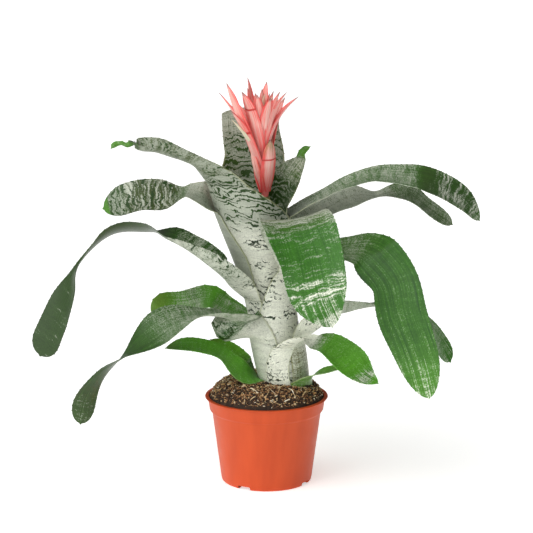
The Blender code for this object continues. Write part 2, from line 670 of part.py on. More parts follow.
def main():
    clear_scene()
    parts = new_collection("potted_silver_vase_plant")
    cutters = new_collection("cutters")
    build_pot(parts, cutters)
    build_soil(parts, cutters)
    build_stem(parts)
    build_flower_head(parts)
    for name, spec in LEAVES.items():
        build_leaf(name, spec, parts)


main()
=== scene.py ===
import functools
import random
from math import atan2, ceil, cos, hypot, pi, radians, sin, sqrt, tau

import bpy
from mathutils import Matrix, Vector, noise


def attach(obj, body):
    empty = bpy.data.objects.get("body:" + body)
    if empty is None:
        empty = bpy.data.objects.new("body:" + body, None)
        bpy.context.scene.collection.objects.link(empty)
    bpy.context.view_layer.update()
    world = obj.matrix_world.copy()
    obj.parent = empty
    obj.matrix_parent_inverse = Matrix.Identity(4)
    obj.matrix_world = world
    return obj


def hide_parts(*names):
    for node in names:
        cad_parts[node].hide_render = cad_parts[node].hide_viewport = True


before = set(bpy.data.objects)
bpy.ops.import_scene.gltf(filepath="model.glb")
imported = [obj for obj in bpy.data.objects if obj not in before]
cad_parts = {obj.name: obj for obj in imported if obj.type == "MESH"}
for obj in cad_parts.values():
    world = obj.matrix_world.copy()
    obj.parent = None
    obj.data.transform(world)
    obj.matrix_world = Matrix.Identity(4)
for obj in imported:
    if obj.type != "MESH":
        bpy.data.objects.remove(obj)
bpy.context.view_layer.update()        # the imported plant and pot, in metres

mm = 0.001
up = Vector((0, 0, 1))
dice = random.Random(7)
print("frame loaded:", len(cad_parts), "solids")


# Helpers

def hexColour(code):
    channels = [int(code[n:n + 2], 16) / 255 for n in (1, 3, 5)]
    return [c / 12.92 if c <= 0.04045 else ((c + 0.055) / 1.055) ** 2.4 for c in channels] + [1.0]


def feedInputs(material, node, values):
    # Sockets are linked, and numbers and hex colours are set on the node itself
    for key, value in values.items():
        if isinstance(value, bpy.types.NodeSocket):
            material.node_tree.links.new(value, node.inputs[key])
        else:
            node.inputs[key].default_value = hexColour(value) if isinstance(value, str) else value


def addNode(material, kind, *values, out=0, **settings):
    # Adds a node with its settings and gives back one output. Its kind may name an operation
    # too, and its inputs come in order, or by their number or name in one dictionary.
    kind, *operation = kind.split()
    node = material.node_tree.nodes.new("ShaderNode" + kind)
    for key, value in [*settings.items(), *zip(["operation"], operation)]:
        setattr(node, key, value)
    named = values and isinstance(values[0], dict)
    feedInputs(material, node, values[0] if named else dict(enumerate(values)))
    return node.outputs[out]


def newMaterial(name):
    material = bpy.data.materials.new(name)
    material.use_nodes = True
    return material, functools.partial(addNode, material)


def feedShader(material, values):
    feedInputs(material, material.node_tree.nodes["Principled BSDF"], values)
    return material


def selectOnly(*things):
    bpy.ops.object.select_all(action="DESELECT")
    for thing in things:
        thing.select_set(True)
    if things:
        bpy.context.view_layer.objects.active = things[0]


def startPiece(name, primitive, **settings):
    # A primitive at its size and place, which are then applied to its mesh
    selectOnly()
    primitive(**settings)
    bpy.ops.object.transform_apply(location=True, rotation=True, scale=True)
    thing = bpy.context.object
    thing.name = name
    return thing


def applyModifier(thing, kind, **settings):
    selectOnly(thing)
    modifier = thing.modifiers.new(kind.lower(), kind)
    for key, value in settings.items():
        setattr(modifier, key, value)
    bpy.ops.object.modifier_apply(modifier=modifier.name)


def joinPieces(things, name):
    selectOnly(*things)
    bpy.ops.object.join()
    bpy.context.object.name = name
    return bpy.context.object


def finishPiece(piece, node, material, sharpAngle=40):
    selectOnly(piece)
    bpy.ops.object.shade_smooth_by_angle(angle=radians(sharpAngle))
    piece.data.materials.clear()
    piece.data.materials.append(material)
    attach(piece, "root")
    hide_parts(node)


def smoothstep(value):
    value = min(1.0, max(0.0, value))
    return value * value * (3 - 2 * value)


def readTable(table, at):
    # A row of values between the rows of a table whose first column rises
    for low, high in zip(table, table[1:]):
        if at <= high[0]:
            share = max(0.0, (at - low[0]) / (high[0] - low[0]))
            return [a + (b - a) * share for a, b in zip(low[1:], high[1:])]
    return list(table[-1][1:])


def splineRow(rows, index, share):
    # Catmull-Rom between two rows of numbers, carried on straight past both ends
    low, high = rows[index], rows[index + 1]
    before = rows[index - 1] if index else [2 * a - b for a, b in zip(low, high)]
    after = rows[index + 2] if index + 2 < len(rows) else [2 * b - a for a, b in zip(low, high)]
    return [0.5 * (2 * b + (c - a) * share + (2 * a - 5 * b + 4 * c - d) * share ** 2
                   + (3 * b - a - 3 * c + d) * share ** 3)
            for a, b, c, d in zip(before, low, high, after)]


def extrudeRings(rings):
    # The selected ring of edges is extruded from ring to ring: radius, height, x of the middle
    for (radius, height, middle), (newRadius, newHeight, newMiddle) in zip(rings, rings[1:]):
        step = ((newMiddle - middle) * mm, 0, (newHeight - height) * mm)
        bpy.ops.mesh.extrude_region_move(TRANSFORM_OT_translate={"value": step})
        scale = newRadius / radius
        bpy.ops.transform.resize(value=(scale, scale, 1), center_override=(newMiddle * mm, 0, 0))


def turnRings(name, rings, sides):
    radius, height, middle = rings[0]
    thing = startPiece(name, bpy.ops.mesh.primitive_circle_add, vertices=sides, radius=radius * mm,
                       location=(middle * mm, 0, height * mm))
    bpy.ops.object.mode_set(mode="EDIT")
    bpy.ops.mesh.select_all(action="SELECT")
    extrudeRings(rings)
    bpy.ops.mesh.select_all(action="SELECT")
    bpy.ops.mesh.fill_holes(sides=0)
    bpy.ops.mesh.normals_make_consistent(inside=False)
    bpy.ops.object.mode_set(mode="OBJECT")
    return thing


def shapedGrid(name, rows, columns, points, values):
    # A flat grid pulled into shape: points[row][column] in millimetres, and named values
    # (three numbers a point) that the material reads. Its last row closes to one point.
    thing = startPiece(name, bpy.ops.mesh.primitive_grid_add, x_subdivisions=columns,
                       y_subdivisions=rows, size=2)
    mesh = thing.data
    order = [(round((v.co.y + 1) / 2 * rows), round((v.co.x + 1) / 2 * columns)) for v in mesh.vertices]
    mesh.vertices.foreach_set("co", [c * mm for row, column in order for c in points[row][column]])
    for key, table in values.items():
        attribute = mesh.attributes.new(key, "FLOAT_VECTOR", "POINT")
        attribute.data.foreach_set("vector", [c for row, column in order for c in table[row][column]])
    mesh.update()
    bpy.ops.object.mode_set(mode="EDIT")
    bpy.ops.mesh.select_all(action="SELECT")
    bpy.ops.mesh.remove_doubles(threshold=0.02 * mm)
    bpy.ops.object.mode_set(mode="OBJECT")
    return thing


# Pot: polypropylene, moulded in one piece with a lip, a rim band and a stacking ledge

pot = dict(
    sides=144,
    # radius and height of the outline, from the drain hole up the outside and down the inside
    rings=((14.2, 1.5), (16.2, 4.5), (47.3, 4.5), (49.3, 1.5), (53.9, 1.5), (55.3, 5), (66.2, 89.3),
           (69.4, 92.3), (71.4, 107.6), (71.9, 108), (75.7, 108), (76.2, 107.5), (76.2, 106.9),
           (75.6, 106.4), (72.9, 106.2), (70.8, 91.8), (70.3, 90.9), (68.2, 88.9), (67.6, 88),
           (56.7, 5), (55.9, 1.4), (54.3, 0), (48.5, 0), (46.5, 3), (17, 3), (15, 0)),
    edge=0.3, sharp=35,                 # rounding of the edges in mm, and what counts as an edge
    notches=(60, 150, 240, 330), notchSize=(16, 17, 9.2), notchEdge=1.2, footRadius=54.3,
    drains=(15, 105, 195, 285), drainRadius=4, drainDepth=20, drainCircle=31,
    colour="#cd5229", flow="#c24b25", roughness=(0.38, 0.52), shine=0.2,
    grain=0.714, grainDepth=0.1, scuffs=22.2, flowMarks=(16.7, 16.7, 111),      # sizes in mm
)


def potCutters():
    # Rounded blocks for the notches in the foot, and rods for the drain holes
    cutters = []
    for angle in pot["notches"] + pot["drains"]:
        isNotch = angle in pot["notches"]
        turn, reach = radians(angle), pot["footRadius"] if isNotch else pot["drainCircle"]
        place = [reach * mm * cos(turn), reach * mm * sin(turn), 0]
        if isNotch:
            cutters.append(startPiece("notchCutter", bpy.ops.mesh.primitive_cube_add, size=1,
                                      location=place, rotation=(0, 0, turn),
                                      scale=[s * mm for s in pot["notchSize"]]))
            applyModifier(cutters[-1], "BEVEL", width=pot["notchEdge"] * mm, segments=3)
        else:
            cutters.append(startPiece("drainCutter", bpy.ops.mesh.primitive_cylinder_add, vertices=32,
                                      radius=pot["drainRadius"] * mm, depth=pot["drainDepth"] * mm,
                                      location=place))
    return cutters


def buildPot():
    shell = turnRings("nurseryPot", [(*ring, 0) for ring in pot["rings"]], pot["sides"])
    applyModifier(shell, "BEVEL", width=pot["edge"] * mm, segments=2, limit_method="ANGLE",
                  angle_limit=radians(pot["sharp"]))
    for cutter in potCutters():
        applyModifier(shell, "BOOLEAN", operation="DIFFERENCE", solver="EXACT", object=cutter)
        bpy.data.objects.remove(cutter)
    return shell


def potMaterial():
    # Polypropylene, injection moulded: satin, with a fine grain and faint flow marks
    material, add = newMaterial("moulded polypropylene, terracotta colour")
    place = add("TexCoord", out="Object")
    flow = add("VectorMath MULTIPLY", place, [1000 / size for size in pot["flowMarks"]])
    flow = add("TexNoise", {"Vector": flow, "Scale": 1, "Detail": 3})
    tint = add("MapRange", flow, 0.35, 0.7)
    colour = add("Mix", {0: tint, 6: pot["colour"], 7: pot["flow"]}, out=2, data_type="RGBA")
    grain = add("TexNoise", {"Vector": place, "Scale": 1000 / pot["grain"], "Detail": 2})
    scuffs = add("TexNoise", {"Vector": place, "Scale": 1000 / pot["scuffs"], "Detail": 6,
                              "Roughness": 0.7})
    rough = add("MapRange", scuffs, 0.35, 0.7, *pot["roughness"])
    bump = add("Bump", {"Height": grain, "Strength": 0.25, "Distance": pot["grainDepth"] * mm})
    return feedShader(material, {"Base Color": colour, "Roughness": rough, "Normal": bump,
                                 "Specular IOR Level": pot["shine"]})


finishPiece(buildPot(), "pot", potMaterial())
print("pot built")


# Soil: a mound of peat, bark crumbs and fibres that fills the pot up to the leaf bases

soil = dict(
    edge=71, edgeHeight=106.5, rise=23, power=6, lump=2.2, lumpWidths=(11, 5),
    cells=150, crumbs=((2.6, 1.3), (1.1, 0.7)),              # width and height of the fine crumbs, mm
    skirt=((69.1, 92.6), (65.9, 89.6), (55, 5.4), (47.3, 4.8)),
    plant=(22.5, 36),                                        # middle and radius kept free of chips
    chips=4200, chipMargin=2, chipSizes=(0.7, 0.9, 1, 1.3, 1.7), chipShades=(1.6, 0.9),
    fibres=330, fibreMargin=6, strandSteps=6, fibreShades=(0.35, 0.5, 0.62, 0.7, 0.8),
    # both ends, thickness, how high the middle stands up, and shade
    sticks=(
        ((-20.1, -43.5), (-10.3, -56), 0.8, 1, 0.85), ((-19.9, -61.5), (-12.7, -59.5), 0.7, 1, 0.8),
        ((27.4, -41.5), (34.6, -51.5), 0.6, 1, 0.9), ((21.1, -62), (28.4, -58), 0.8, 0.6, 0.95),
        ((43.2, -47.5), (49.5, -36), 0.7, 2.5, 0.75), ((-37, -53), (-16.3, -58.5), 0.5, 2.5, 0.45),
        ((-32.2, -51), (-22.4, -60), 0.5, 2, 0.5), ((13.9, -54), (21.3, -38), 0.5, 3, 0.7),
    ),
    colours=((0, "#2a1c10"), (0.13, "#4a3220"), (0.28, "#7a5235"), (0.45, "#a8784e"),
             (0.62, "#c49a68"), (0.8, "#dfc596"), (1, "#f5efdd")),
    mottle=(6.25, 1.11), mottleShare=0.55, grit=0.6, roughness=0.86,           # sizes in mm
)


def soilHeight(x, y):
    fall = min(1, hypot(x, y) / soil["edge"]) ** soil["power"]
    coarse, fine = (noise.noise(Vector((x / width, y / width, width))) for width in soil["lumpWidths"])
    return soil["edgeHeight"] + soil["rise"] * (1 - fall) + soil["lump"] * (coarse + 0.5 * fine)


def crumbHeight(x, y):
    crumbs = sum(rise * noise.noise(Vector((x / width, y / width, 3))) for width, rise in soil["crumbs"])
    return soilHeight(x, y) + crumbs


def isFree(x, y, margin):
    # Inside the rim, and clear of the plant
    middle, radius = soil["plant"]
    return hypot(x, y) <= soil["edge"] - margin and hypot(x - middle, y) >= radius


def buildMound():
    cells = soil["cells"]
    mound = startPiece("soilMound", bpy.ops.mesh.primitive_grid_add, x_subdivisions=cells,
                       y_subdivisions=cells, size=2)
    for vert in mound.data.vertices:
        x = soil["edge"] * vert.co.x * sqrt(1 - 0.5 * vert.co.y ** 2)      # the square becomes a disc
        y = soil["edge"] * vert.co.y * sqrt(1 - 0.5 * vert.co.x ** 2)
        vert.co = Vector((x, y, crumbHeight(x, y))) * mm
    bpy.ops.object.mode_set(mode="EDIT")
    bpy.ops.mesh.select_mode(type="EDGE")
    bpy.ops.mesh.select_all(action="DESELECT")
    bpy.ops.mesh.select_non_manifold()
    extrudeRings([(soil["edge"], soil["edgeHeight"], 0), *[(*ring, 0) for ring in soil["skirt"]]])
    bpy.ops.mesh.edge_face_add()
    bpy.ops.mesh.select_mode(type="VERT")
    bpy.ops.object.mode_set(mode="OBJECT")
    return mound


def chipShape():
    # One irregular crumb of bark with twenty faces, to be copied
    chip = startPiece("barkChip", bpy.ops.mesh.primitive_ico_sphere_add, subdivisions=1, radius=0.5)
    points = [v.co * dice.uniform(0.75, 1.25) for v in chip.data.vertices]
    faces = [tuple(face.vertices) for face in chip.data.polygons]
    bpy.data.objects.remove(chip)
    return points, faces


def looseBits():
    # All chips, fibres and sticks in one mesh, each with its own shade from dark to pale
    points, faces, shades = [], [], []

    def addBit(bitPoints, bitFaces, shade):
        start = len(points)
        points.extend(bitPoints)
        faces.extend([tuple(start + n for n in face) for face in bitFaces])
        shades.extend([shade] * len(bitPoints))

    def addStrand(x, y, heading, bend, length, lift, radius, shade, clear=0.5):
        # A thin three sided strand that lies on the mound, with its middle lifted a little
        route, ring, last = [], [], soil["strandSteps"]
        for number in range(last + 1):
            limit = min(1, (soil["edge"] - 1.5) / max(1, hypot(x, y)))          # stays inside the rim
            x, y = x * limit, y * limit
            route.append(Vector((x, y, soilHeight(x, y) + clear + lift * sin(pi * number / last))))
            x, y = x + length * cos(heading), y + length * sin(heading)
            heading += bend
        for number, point in enumerate(route):
            side = (route[min(number + 1, last)] - route[max(number - 1, 0)]).cross(up).normalized()
            thin = radius * (0.55 if number in (0, last) else 1)
            ring += [point + side * thin, point - side * thin, point + 1.4 * thin * up]
        quads = [(3 * n + a, 3 * n + b, 3 * n + 3 + b, 3 * n + 3 + a)
                 for n in range(last) for a, b in ((0, 1), (1, 2), (2, 0))]
        addBit(ring, [*quads, (2, 1, 0), (3 * last, 3 * last + 1, 3 * last + 2)], shade)

    shapes = [chipShape() for _ in range(5)]
    placed, reach = 0, soil["edge"] - soil["chipMargin"]
    power, palest = soil["chipShades"]
    while placed < soil["chips"]:
        x, y = dice.uniform(-1, 1) * reach, dice.uniform(-1, 1) * reach
        if not isFree(x, y, soil["chipMargin"]):
            continue
        placed += 1
        size = dice.choice(soil["chipSizes"])
        scale = Vector((dice.uniform(1.6, 4.2), dice.uniform(0.9, 2), dice.uniform(0.6, 1.3))) * size
        turn = Matrix.Rotation(dice.uniform(0, tau), 3, "Z") @ \
            Matrix.Rotation(radians(dice.uniform(-40, 40)), 3, "Y")
        centre = Vector((x, y, crumbHeight(x, y) + 0.25 * scale.z))
        shapePoints, shapeFaces = dice.choice(shapes)
        addBit([centre + turn @ Vector(a * b for a, b in zip(p, scale)) for p in shapePoints],
               shapeFaces, dice.random() ** power * palest)
    for _ in range(soil["fibres"]):
        x, y = (dice.uniform(-1, 1) * (soil["edge"] - soil["fibreMargin"]) for _ in "xy")
        if isFree(x, y, soil["fibreMargin"]):
            addStrand(x, y, dice.uniform(0, tau), dice.uniform(-0.25, 0.25), dice.uniform(1, 2.6),
                      dice.uniform(0.1, 1.3), dice.uniform(0.18, 0.42), dice.choice(soil["fibreShades"]))
    for (x0, y0), (x1, y1), radius, lift, shade in soil["sticks"]:
        addStrand(x0, y0, atan2(y1 - y0, x1 - x0), 0, hypot(x1 - x0, y1 - y0) / soil["strandSteps"],
                  lift, radius, shade, 0.8)
    mesh = bpy.data.meshes.new("looseBits")
    mesh.from_pydata([p * mm for p in points], [], faces)
    mesh.attributes.new("shade", "FLOAT", "POINT").data.foreach_set("value", shades)
    bits = bpy.data.objects.new("looseBits", mesh)
    bpy.context.collection.objects.link(bits)
    return bits


def soilMaterial():
    # Moist peat with bark crumbs: black brown, with tan and straw coloured bits, quite matt
    material, add = newMaterial("moist peat and bark")
    place = add("TexCoord", out="Object")
    shade = add("Attribute", out="Fac", attribute_name="shade")
    coarse, fine = (add("TexNoise", {"Vector": place, "Scale": 1000 / size, "Detail": 4})
                    for size in soil["mottle"])
    mottle = add("Math SUBTRACT", add("Math ADD", coarse, fine), 1)
    ramp = add("ValToRGB", add("Math MULTIPLY_ADD", mottle, soil["mottleShare"], shade))
    elements = ramp.node.color_ramp.elements
    for _ in soil["colours"][2:]:
        elements.new(0.5)
    for element, (position, code) in zip(elements, soil["colours"]):
        element.position, element.color = position, hexColour(code)
    bump = add("Bump", {"Height": fine, "Strength": 0.8, "Distance": soil["grit"] * mm})
    return feedShader(material, {"Base Color": ramp, "Normal": bump, "Roughness": soil["roughness"]})


soilPiece = joinPieces([buildMound(), looseBits()], "pottingSoil")
finishPiece(soilPiece, "soil", soilMaterial(), 60)
print("soil built:", len(soilPiece.data.polygons), "faces")


# Stem: the short base that the leaves grow from, and the flower stalk inside the vase

stem = dict(
    sides=40,
    rings=((28, 98, 23), (30.5, 104, 23), (31.6, 106, 23), (31.4, 109, 23), (33.2, 112, 23),
           (33, 115, 23), (34.3, 118, 23), (20, 118.6, 23), (8, 120, 22.6), (5.8, 124, 22),
           (5.5, 160, 20), (5.4, 190, 16.6), (5.3, 220, 13), (5.2, 255, 9.2), (5.2, 290, 5),
           (5.4, 325, 1.7), (5.5, 356.5, -1.4)),
    skin="#8a8f4e", scale="#6f5a3a", scars=(25, 25, 2), scarDepth=0.5, roughness=0.62,     # mm
)


def stemMaterial():
    # Living stem with dry leaf scars: matt, yellow green with brown rings and fibres
    material, add = newMaterial("bromeliad stem")
    place = add("VectorMath MULTIPLY", add("TexCoord", out="Object"),
                [1000 / size for size in stem["scars"]])
    scars = add("TexNoise", {"Vector": place, "Scale": 1, "Detail": 3})
    tint = add("MapRange", scars, 0.4, 0.65)
    colour = add("Mix", {0: tint, 6: stem["skin"], 7: stem["scale"]}, out=2, data_type="RGBA")
    bump = add("Bump", {"Height": scars, "Strength": 0.6, "Distance": stem["scarDepth"] * mm})
    return feedShader(material, {"Base Color": colour, "Normal": bump, "Roughness": stem["roughness"]})


finishPiece(turnRings("leafStem", stem["rings"], stem["sides"]), "stem", stemMaterial())
print("stem built")


# Flower head: keeled pink bracts on one axis, with a few cream florets between them

flower = dict(
    foot=(-1.4, 0, 357), tilt=-3.2, coreSides=24,
    core=((0.6, 0), (3.5, 0.3), (6.6, 14), (7.6, 34), (9.5, 60), (8, 80), (3, 90), (0.6, 91)),
    columns=10, rows=26, thick=0.55, sink=1.5, keel=0.42, knee=0.65, ripple=0.5,
    outline=(0.62, 0.95, 1, 0.9, 0.66, 0),              # share of the width, from foot to tip
    # heading, foot, reach and height of the tip, width, share of the reach at the knee,
    # place of the red ring (0 for none), how green its tip is
    bracts=(
        (194, 24, 50, 131, 14, 0.37, 0, 0), (216, 37, 47, 143.5, 18.5, 0.78, 0, 0),
        (236, 40, 36, 132, 19, 0.3, 0.68, 0), (146, 58, 16, 145, 9.5, 0.54, 0, 0),
        (264, 50, 25, 127, 15, 0.3, 0, 0), (304, 70, 6, 132, 10, 0.5, 0, 0),
        (38, 72, 12, 139, 14, 0.54, 0, 0), (294, 46, 33, 123, 16, 0.15, 0, 0),
        (323, 35, 31, 129, 15.5, 0.26, 0, 0), (335, 42, 36, 127, 17.5, 0.1, 0, 0),
        (4, 34, 47, 119, 22, 0, 0, 0), (220, 12, 46, 111, 17, 0.3, 0.62, 0),
        (308, 5, 16, 71, 22, 1.3, 0.55, 1), (64, 36, 38, 124, 11, 0.1, 0, 0),
        (85, 24, 44, 112, 15, 0.15, 0, 0), (114, 40, 36, 130, 15.5, 0.15, 0.7, 0),
        (135, 28, 46, 116, 15, 0.2, 0, 0), (160, 34, 38, 112, 14, 0.25, 0, 0),
        (46, 18, 44, 116, 16.5, 0.22, 0.64, 0), (45, 44, 24, 126, 11.5, 0.05, 0, 0),
        (170, 54, 22, 128, 12, 0.2, 0, 0), (100, 5, 16, 66, 22, 1.2, 0.6, 0.8),
        (205, 6, 15, 60, 20, 1.2, 0, 0.2), (250, 64, 14, 128, 12, 0.3, 0, 0),
        (331, 62, 14, 126, 12, 0.2, 0, 0), (20, 8, 14, 74, 18, 0.8, 0.6, 0.5),
    ),
    # small cream petals between the bracts: as above
    petals=(
        (213, 45, 41, 98, 8, 0.5, 0, 0), (222, 42, 34, 88, 7, 0.5, 0, 0), (310, 84, 10, 126, 6, 0.3, 0, 0),
        (285, 80, 12, 118, 5, 0.3, 0, 0), (120, 70, 22, 112, 6, 0.3, 0, 0), (30, 80, 18, 120, 6, 0.3, 0, 0),
    ),
    centre="#ffc6bb", edge="#fb615d", deep="#d63f3c", tip="#7d5f58", green="#80873f",
    cream="#f6ecce", shine=0.3, roughness=0.48, veins=(9, 3), grain=1.43, relief=0.4,     # mm
)


def buildBract(number, values, cream=0):
    heading, foot, reach, height, width, kneeShare, ring, green = values
    angle = radians(heading)
    out, side = Vector((cos(angle), sin(angle), 0)), Vector((-sin(angle), cos(angle), 0))
    coreRadius = readTable([(z, r) for r, z in flower["core"][1:-1]], foot)[0]
    start, end = Vector((coreRadius - flower["sink"], foot)), Vector((reach, height))
    knee = start + Vector((kneeShare * (end.x - start.x), flower["knee"] * (end.y - start.y)))
    rows, columns = flower["rows"], flower["columns"]
    outline = [(value,) for value in flower["outline"]]
    points, places = [], []
    for row in range(rows + 1):
        share = row / rows
        first, second = start.lerp(knee, share), knee.lerp(end, share)
        point, along = first.lerp(second, share), (second - first).normalized()
        face = out * along.y - up * along.x
        scaled = min(share * (len(outline) - 1), len(outline) - 1.001)
        half = 0.5 * width * splineRow(outline, int(scaled), scaled - int(scaled))[0]
        half = 0 if row == rows else half
        ripple = flower["ripple"] * noise.noise(Vector((share * 4, number, 0))) * min(1, half / 4)
        middle = out * point.x + up * point.y + face * ripple
        lanes = [2 * column / columns - 1 for column in range(columns + 1)]
        points.append([middle + side * lane * half - face * half * flower["keel"] * abs(lane) ** 1.35
                       for lane in lanes])
        places.append([(lane, share, number * 1.7) for lane in lanes])
    kinds = [[(ring, green, cream)] * (columns + 1)] * (rows + 1)
    bract = shapedGrid(f"bract{number}", rows, columns, points, {"place": places, "kind": kinds})
    applyModifier(bract, "SOLIDIFY", thickness=flower["thick"] * mm, offset=0)
    return bract


def flowerMaterial():
    # Waxy bracts: pale pink down the middle with fine veins, coral edges and sharp dull tips
    material, add = newMaterial("waxy pink bract")
    (across, along, seed), (ringAt, greenTip, cream) = (
        add("SeparateXYZ", add("Attribute", out="Vector", attribute_name=key)).node.outputs
        for key in ("place", "kind"))
    lane, row = (add("Math MULTIPLY", source, scale)
                 for source, scale in zip((across, along), flower["veins"]))
    veins = add("TexNoise", {"Vector": add("CombineXYZ", lane, row, seed), "Scale": 1, "Detail": 3})
    grain = add("TexNoise", {"Vector": add("TexCoord", out="Object"), "Scale": 1000 / flower["grain"],
                             "Detail": 3})
    toEdge = add("Math POWER", add("Math ABSOLUTE", across), 1.6)
    veined = add("MapRange", veins, 0.34, 0.66, -0.5, 0.6)
    toEdge = add("Math ADD", toEdge, veined, use_clamp=True)
    low = add("MapRange", along, 0, 0.45, 0.75, 0)
    # above the ring some bracts are green or olive towards the tip
    above = add("Math SUBTRACT", along, ringAt)
    ringLine = add("MapRange", add("Math ABSOLUTE", above), 0.008, 0.022, 1, 0)
    hasRing = add("Math GREATER_THAN", ringAt, 0.01)
    ringLine = add("Math MULTIPLY", ringLine, hasRing)
    greenShare = add("Math MULTIPLY", add("MapRange", above, 0.05, 0.35), greenTip)
    greenShare = add("Math MULTIPLY", greenShare, add("MapRange", veins, 0.42, 0.6))
    point = add("MapRange", along, 0.9, 0.98, 0, 0.85)
    colour = flower["centre"]
    for share, name in ((toEdge, "edge"), (low, "deep"), (greenShare, "green"), (ringLine, "deep"),
                        (point, "tip"), (cream, "cream")):
        colour = add("Mix", {0: share, 6: colour, 7: flower[name]}, out=2, data_type="RGBA")
    height = add("Math MULTIPLY_ADD", veins, 0.7, grain)
    bump = add("Bump", {"Height": height, "Strength": 0.5, "Distance": flower["relief"] * mm})
    return feedShader(material, {"Base Color": colour, "Normal": bump, "Roughness": flower["roughness"],
                                 "Specular IOR Level": flower["shine"]})


def buildFlower():
    core = turnRings("flowerCore", [(r, z, 0) for r, z in flower["core"]], flower["coreSides"])
    bits = [buildBract(number, values) for number, values in enumerate(flower["bracts"])]
    bits += [buildBract(40 + number, values, 1) for number, values in enumerate(flower["petals"])]
    head = joinPieces([core, *bits], "flowerHead")
    head.data.transform(Matrix.Translation(Vector(flower["foot"]) * mm)
                        @ Matrix.Rotation(radians(flower["tilt"]), 4, "Y"))
    return head


finishPiece(buildFlower(), "flower_head", flowerMaterial(), 50)
print("flower head built")


# Leaves: each is one strap that clasps the vase and then arches out

plant = dict(
    x=22, z=128, lean=-0.175, radius=34.5, flare=0.113, waist=8, waistHeight=230, layerPitch=1.8,
    thick=0.8, columns=20, sheathStep=4, bladeStep=2.2, soften=10, blend=40, loose=60,
    fine=40,                                               # samples between two rows of a blade
    tipRows=(6.6, 5, 3.7, 2.6, 1.7, 1, 0.5, 0.2), tipLength=46, tipPower=2.2, tipPoint=1.8,
    toothEvery=3, toothStart=4, tooth=0.8, toothLean=0.45, toothNarrow=0.65,
    wave=1.5, waveLength=26, waveWidth=30,
)

# How a stretch of leaf looks. cover: share of silver scurf; band, fleck, streak: how strongly
# cross bands, short cross dashes and lengthwise streaks break it up; cracks and spots: dark
# lines and dots in the silver; tone: dark to bright green; dry: olive tan; warm: grey to cream.
# A tenth value is how much more scurf the under side has, if it isn't underCover.
lookParts = dict(lookCover=("cover", "band", "fleck"), lookMarks=("streak", "cracks", "spots"),
                 lookTone=("tone", "dry", "warm"), lookMargin=("under", "across", "clasped"))
underCover = 0.2
looks = {
    "clasp": (0.95, 0.2, 0, 0.3, -0.4, 0.7, 0.6, 0.2, 1),
    "silver": (0.98, 0.5, 0.1, 0.1, -0.1, 0.9, 0.2, 0, 0.95),
    "cracked": (1.05, 0.5, 0.1, 0.1, 0.25, 1, 0.2, 0, 0.9, 0.1),
    "islands": (0.9, 0.7, 0.2, 0.1, 1.1, 0.1, 0.2, 0, 0.3),
    "plain": (0.8, 0.2, 0.2, 0.4, -1, 0.15, 0.3, 0, 0.7),
    "fold": (0.3, 0.8, 0.2, 0.2, 0.6, 0, 0.2, 0, 0.3),
    "spotted": (1.1, 0.2, 0.1, 0.1, -0.3, 1.3, 0.25, 0, 1),
    "sheath": (0.72, 0.3, 0.2, 0.7, -1, 0.05, 0.3, 0.1, 0.3),
    "cross": (0.66, 0.7, 0.3, 0.2, 1.4, 0.1, 0.3, 0, 0.1),
    "striped": (0.4, 1.5, 1.3, 0.1, 0.9, 0, 0.05, 0.2, 0.35),
    "banded": (0.42, 0.7, 0.6, 0.3, 0.3, 0, 0.2, 0.3, 0.15),
    "mottled": (0.36, 0.9, 0.4, 0.3, 0.3, 0.5, 0.3, 0, 0.4, 0.4),
    "grey": (0.38, 0.2, 0.25, 0.5, -2, 0, 0.3, 0.1, 0.15),
    "pale": (0.45, 0.3, 0.4, 0.5, -2, 0, 0.4, 0.1, 0.3),
    "speckled": (0.54, 0.5, 0.9, 0.3, -2, 0, 0.45, 0.25, 0.3),
    "flecked": (0.12, 0.4, 0.75, 0.3, -2, 0, 0.5, 0, 0.5),
    "dashed": (0.36, 1.2, 1, 0.3, -2, 0, 0.1, 0.1, 0.5),
    "soft": (0.58, 0.3, 0.5, 0.3, -2, 0, 0.4, 0.3, 0.3),
    "barred": (0.33, 1.7, 0.8, 0.5, -2, 0, 0.6, 0, 1),
    # The look below gives pale lengthwise streaks. On the tips of the long right leaf and the front leaf
    # they are also a painted highlight
    "streaksAndSheen": (0.16, 0.3, 0.3, 1.6, -2, 0, 0.6, 0, 1),
    # The look below paints a highlight: pale lengthwise streaks where gloss falls near a leaf tip
    "paintedHighlight": (0.52, 0.1, 0.2, 1.4, -2, 0, 0.6, 0, 1),
    "bright": (0.12, 0.1, 0.3, 0.4, -2, 0, 1, 0, 0.4),
    "deep": (0.03, 0.2, 0.1, 0.6, -2, 0, 0.2, 0, 0.4),
    "shaded": (0.5, 0.9, 0.3, 0.2, 1.6, 0.1, 0.2, 0, 0.1),
    # The look below is bright green with grey scurf. On the tucked left leaf its scurf cover is partly
    # painted sheen
    "scurfAndSheen": (0.36, 0.3, 0.4, 0.6, -2, 0, 0.9, 0.05, 0.5),
    "dull": (-0.42, 0.1, 0.1, 0.3, -2, 0, -0.1, 0.08, 0.1, 0),
    "dark": (-0.1, 0.7, 0.5, 0.4, -2, 0, 0, 0.15, 0.3),
    "lined": (-0.34, 2.1, 0.9, 0.3, -2, 0, -0.4, 0.05, 0.5, 0),
    "tip": (0, 0, 0, 0.2, -2, 0, 1, 0.05, 0.3),
    "olive": (0.05, 0.1, 0.1, 0.3, -2, 0, 0.8, 0.4, 0.3),
    "amber": (0.05, 0, 0, 0.3, -2, 0, 0.9, 0.9, 1),
    "tan": (0.34, 0.3, 0.4, 0.8, -2, 0.3, 0.5, 0.9, 0.8),
}

